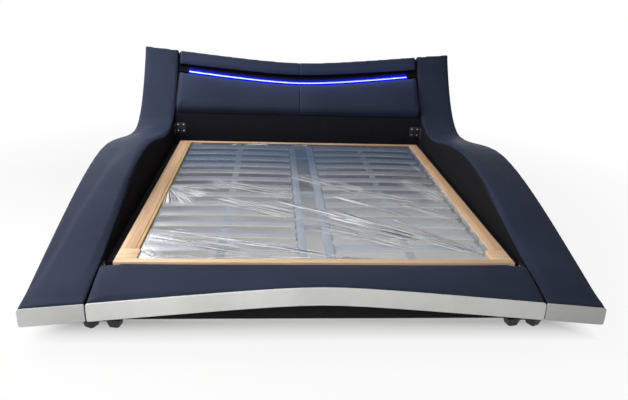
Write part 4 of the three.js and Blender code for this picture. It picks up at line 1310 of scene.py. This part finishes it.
class BED_OT_brackets(bpy.types.Operator):
    """Coated steel angles with domed bolts, in the corners with the wings"""

    bl_idname = "leather_bed.brackets"
    bl_label = "Corner brackets"

    sheet: length("Sheet", "Thickness of the steel", 4 * MM)
    corner: length("Corner", "Radius of the plates' corners", 9 * MM)
    edge: length("Edge", "Softening of the plates' edges", 0.6 * MM)
    bolt: length("Bolt", "Radius of a bolt's head", 5.8 * MM)
    washer: length("Washer", "Thickness of a bolt's washer", 1.6 * MM)
    washer_edge: length("Washer edge", "Softening of a washer's edges", 0.4 * MM)
    inset: length("Inset", "Distance of the bolts from the plate's edges", 18 * MM)

    def execute(self, context):
        coat = coated_material("Black coat", (0.010, 0.011, 0.013), 0.55, 0.65, speck=350.0)
        zinc = coated_material("Bright bolts", (0.40, 0.41, 0.44), 0.28, 0.40, metallic=1.0)
        self.bracket("head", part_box("left_head_bracket"), 1, coat, zinc)
        self.bracket("foot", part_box("left_foot_bracket"), -1, coat, zinc)
        return {"FINISHED"}

    def bracket(self, end, box, facing, coat, zinc):
        """The two angles at one end: a flange lies on the wing and a plate on the board."""
        low, high = box
        board = high[1] if facing > 0 else low[1]
        plate_ys = sorted((board, board - facing * self.sheet))
        plate = self.plate(f"{end}_plate", (low[0], plate_ys[0], low[2]), (high[0], plate_ys[1], high[2]), 1)
        flange = self.plate(f"{end}_flange", low, (low[0] + self.sheet, high[1], high[2]), 0)
        bright, coated = [], []
        heights = (low[2] + self.inset, high[2] - self.inset)
        wing = low[0] + self.sheet
        if end == "head":
            for x in (low[0] + self.inset, high[0] - self.inset):
                for z in heights:
                    bright.append(self.bolt_head((x, board - self.sheet, z), "X"))
            for z in heights:
                coated.append(self.bolt_head((wing, low[1] + self.inset, z), "Y"))
        else:
            for y in (low[1] + (high[1] - low[1]) / 2, high[1] - self.inset):
                bright.append(self.bolt_head((wing, y, high[2] - self.inset), "Y"))
        for item in (plate, flange, *coated):
            item.data.materials.append(coat)
        for item in bright:
            item.data.materials.append(zinc)
        left = join(f"left_{end}_bracket_steel", [plate, flange, *bright, *coated])
        smooth(left, 35)
        right = mirrored(left, f"right_{end}_bracket_steel")
        dress(left, BED, [f"left_{end}_bracket"])
        dress(right, BED, [f"right_{end}_bracket"])

    def plate(self, name, low, high, axis):
        """A flat plate whose four corners, seen along one axis, are rounded."""
        piece = cube(name, low, high)
        self.round_corners(piece, axis)
        apply_modifier(piece, "BEVEL", width=self.edge, segments=2, limit_method="ANGLE")
        return piece

    def round_corners(self, piece, axis):
        select_only(piece)
        for edge in piece.data.edges:
            first, second = (piece.data.vertices[index].co for index in edge.vertices)
            edge.select = abs((second - first).normalized()[axis]) > 0.99
        for item in (*piece.data.vertices, *piece.data.polygons):
            item.select = False
        bpy.ops.object.mode_set(mode="EDIT")
        bpy.ops.mesh.select_mode(type="EDGE")
        bpy.ops.mesh.bevel(offset=self.corner, segments=5, affect="EDGES")
        bpy.ops.object.mode_set(mode="OBJECT")

    def bolt_head(self, place, axis):
        """A domed head on a washer, turned round one axis to stand out of a plate."""
        bpy.ops.object.select_all(action="DESELECT")
        bpy.ops.mesh.primitive_uv_sphere_add(segments=20, ring_count=10, radius=self.bolt)
        dome = named("bolt_dome")
        edit_all(dome, lambda: bpy.ops.transform.resize(value=(1, 1, 0.55)))
        bpy.ops.object.select_all(action="DESELECT")
        bpy.ops.mesh.primitive_cylinder_add(vertices=24, radius=self.bolt * 1.25, depth=self.washer)
        washer = named("bolt_washer")
        apply_modifier(washer, "BEVEL", width=self.washer_edge, segments=2, limit_method="ANGLE")
        head = join("bolt_head", [dome, washer])
        head.data.transform(Matrix.Translation(place) @ Matrix.Rotation(math.radians(90), 4, axis))
        return head


class BED_OT_feet(bpy.types.Operator):
    """Moulded feet on their mounting plates"""

    bl_idname = "leather_bed.feet"
    bl_label = "Feet"

    edge: length("Edge", "Rounding of the feet's edges", 1.6 * MM)

    def execute(self, context):
        settings = context.scene.bed_slat_base
        finish = coated_material("Foot moulding", settings.plastic, 0.42, 0.58, speck=260.0)
        for end in ("front", "rear"):
            for word in SIDES:
                node = f"{end}_{word}_feet"
                piece = node_copy(node, f"{node}_moulded")
                soften(piece, self.edge, 3)
                dress(piece, BED, [node], [finish])
        return {"FINISHED"}


class BED_OT_stage(bpy.types.Operator):
    """Camera, plain floor, soft lamps and even surroundings"""

    bl_idname = "leather_bed.stage"
    bl_label = "Stage"

    def execute(self, context):
        settings = context.scene.bed_stage
        self.camera(context.scene)
        bpy.ops.object.select_all(action="DESELECT")
        bpy.ops.mesh.primitive_plane_add(size=FLOOR_WIDTH)
        floor = named("floor")
        floor.data.materials.append(floor_material(settings))
        for word, (place, target, width) in LAMPS.items():
            self.lamp(f"{word.title()} lamp", place, target, width, getattr(settings, f"{word}_power"))
        self.sky(context.scene, settings.sky_strength)
        context.scene.view_settings.view_transform = "Standard"
        return {"FINISHED"}

    def camera(self, scene):
        data = bpy.data.cameras.new("Camera")
        data.sensor_width = SENSOR_WIDTH
        data.lens = FOCAL_PIXELS / PHOTO_SIZE[0] * SENSOR_WIDTH
        data.clip_end = CAMERA_REACH
        forward = Vector((
            math.sin(CAMERA_YAW) * math.cos(CAMERA_PITCH),
            math.cos(CAMERA_YAW) * math.cos(CAMERA_PITCH),
            -math.sin(CAMERA_PITCH),
        ))
        level = Vector((math.cos(CAMERA_YAW), -math.sin(CAMERA_YAW), 0.0))
        upright = level.cross(forward)
        right = math.cos(CAMERA_ROLL) * level + math.sin(CAMERA_ROLL) * upright
        up = -math.sin(CAMERA_ROLL) * level + math.cos(CAMERA_ROLL) * upright
        turn = Matrix((right, up, -forward)).transposed()
        scene.camera = self.placed("Camera", data, CAMERA_PLACE, turn)

    def lamp(self, name, place, target, width, power):
        data = bpy.data.lights.new(name, "AREA")
        data.shape = "DISK"
        data.size = width
        data.energy = power
        aim = (Vector(target) - Vector(place)).to_track_quat("-Z", "Y")
        self.placed(name, data, place, aim.to_matrix())

    def placed(self, name, data, place, turn):
        """Puts a camera or a lamp into the scene."""
        holder = bpy.data.objects.new(name, data)
        holder.matrix_world = Matrix.Translation(place) @ turn.to_4x4()
        bpy.context.scene.collection.objects.link(holder)
        return holder

    def sky(self, scene, strength):
        """Even light, seen as plain white."""
        world = bpy.data.worlds.new("Surroundings")
        world.use_nodes = True
        tree = world.node_tree
        level = ranged(tree, seen_directly(tree), 0.0, 1.0, low=strength, high=1.0)
        feed(tree, tree.nodes["Background"], Color=(1, 1, 1, 1), Strength=level)
        scene.world = world


OPERATORS = (
    BED_OT_stage, BED_OT_rails, BED_OT_bead, BED_OT_slats, BED_OT_holders, BED_OT_centre_frame, BED_OT_belts,
    BED_OT_film, BED_OT_boards, BED_OT_light, BED_OT_brackets, BED_OT_feet, BED_OT_bands,
    BED_OT_footboard, BED_OT_headboard_pads, BED_OT_wings,
)
SETTINGS = {
    "bed_upholstery": UpholsterySettings,
    "bed_slat_base": SlatBaseSettings,
    "bed_lamp": LampSettings,
    "bed_stage": StageSettings,
}


class BED_PT_panel(bpy.types.Panel):
    """Builds the bed's pieces one group at a time"""

    bl_label = "Leather Bed"
    bl_space_type = "VIEW_3D"
    bl_region_type = "UI"
    bl_category = "Leather Bed"

    def draw(self, context):
        for operator in OPERATORS:
            self.layout.operator(operator.bl_idname)
        for name, group in SETTINGS.items():
            box = self.layout.box()
            box.label(text=group.__doc__)
            for key in group.__annotations__:
                box.prop(getattr(context.scene, name), key)


def register():
    for group in SETTINGS.values():
        bpy.utils.register_class(group)
    for name, group in SETTINGS.items():
        setattr(bpy.types.Scene, name, bpy.props.PointerProperty(type=group))
    for item in (*OPERATORS, BED_PT_panel):
        bpy.utils.register_class(item)


def unregister():
    for item in (BED_PT_panel, *reversed(OPERATORS)):
        bpy.utils.unregister_class(item)
    for name in SETTINGS:
        delattr(bpy.types.Scene, name)
    for group in SETTINGS.values():
        bpy.utils.unregister_class(group)


def main():
    register()
    for operator in OPERATORS:
        family, step = operator.bl_idname.split(".")
        getattr(getattr(bpy.ops, family), step)()


if __name__ == "__main__":
    main()
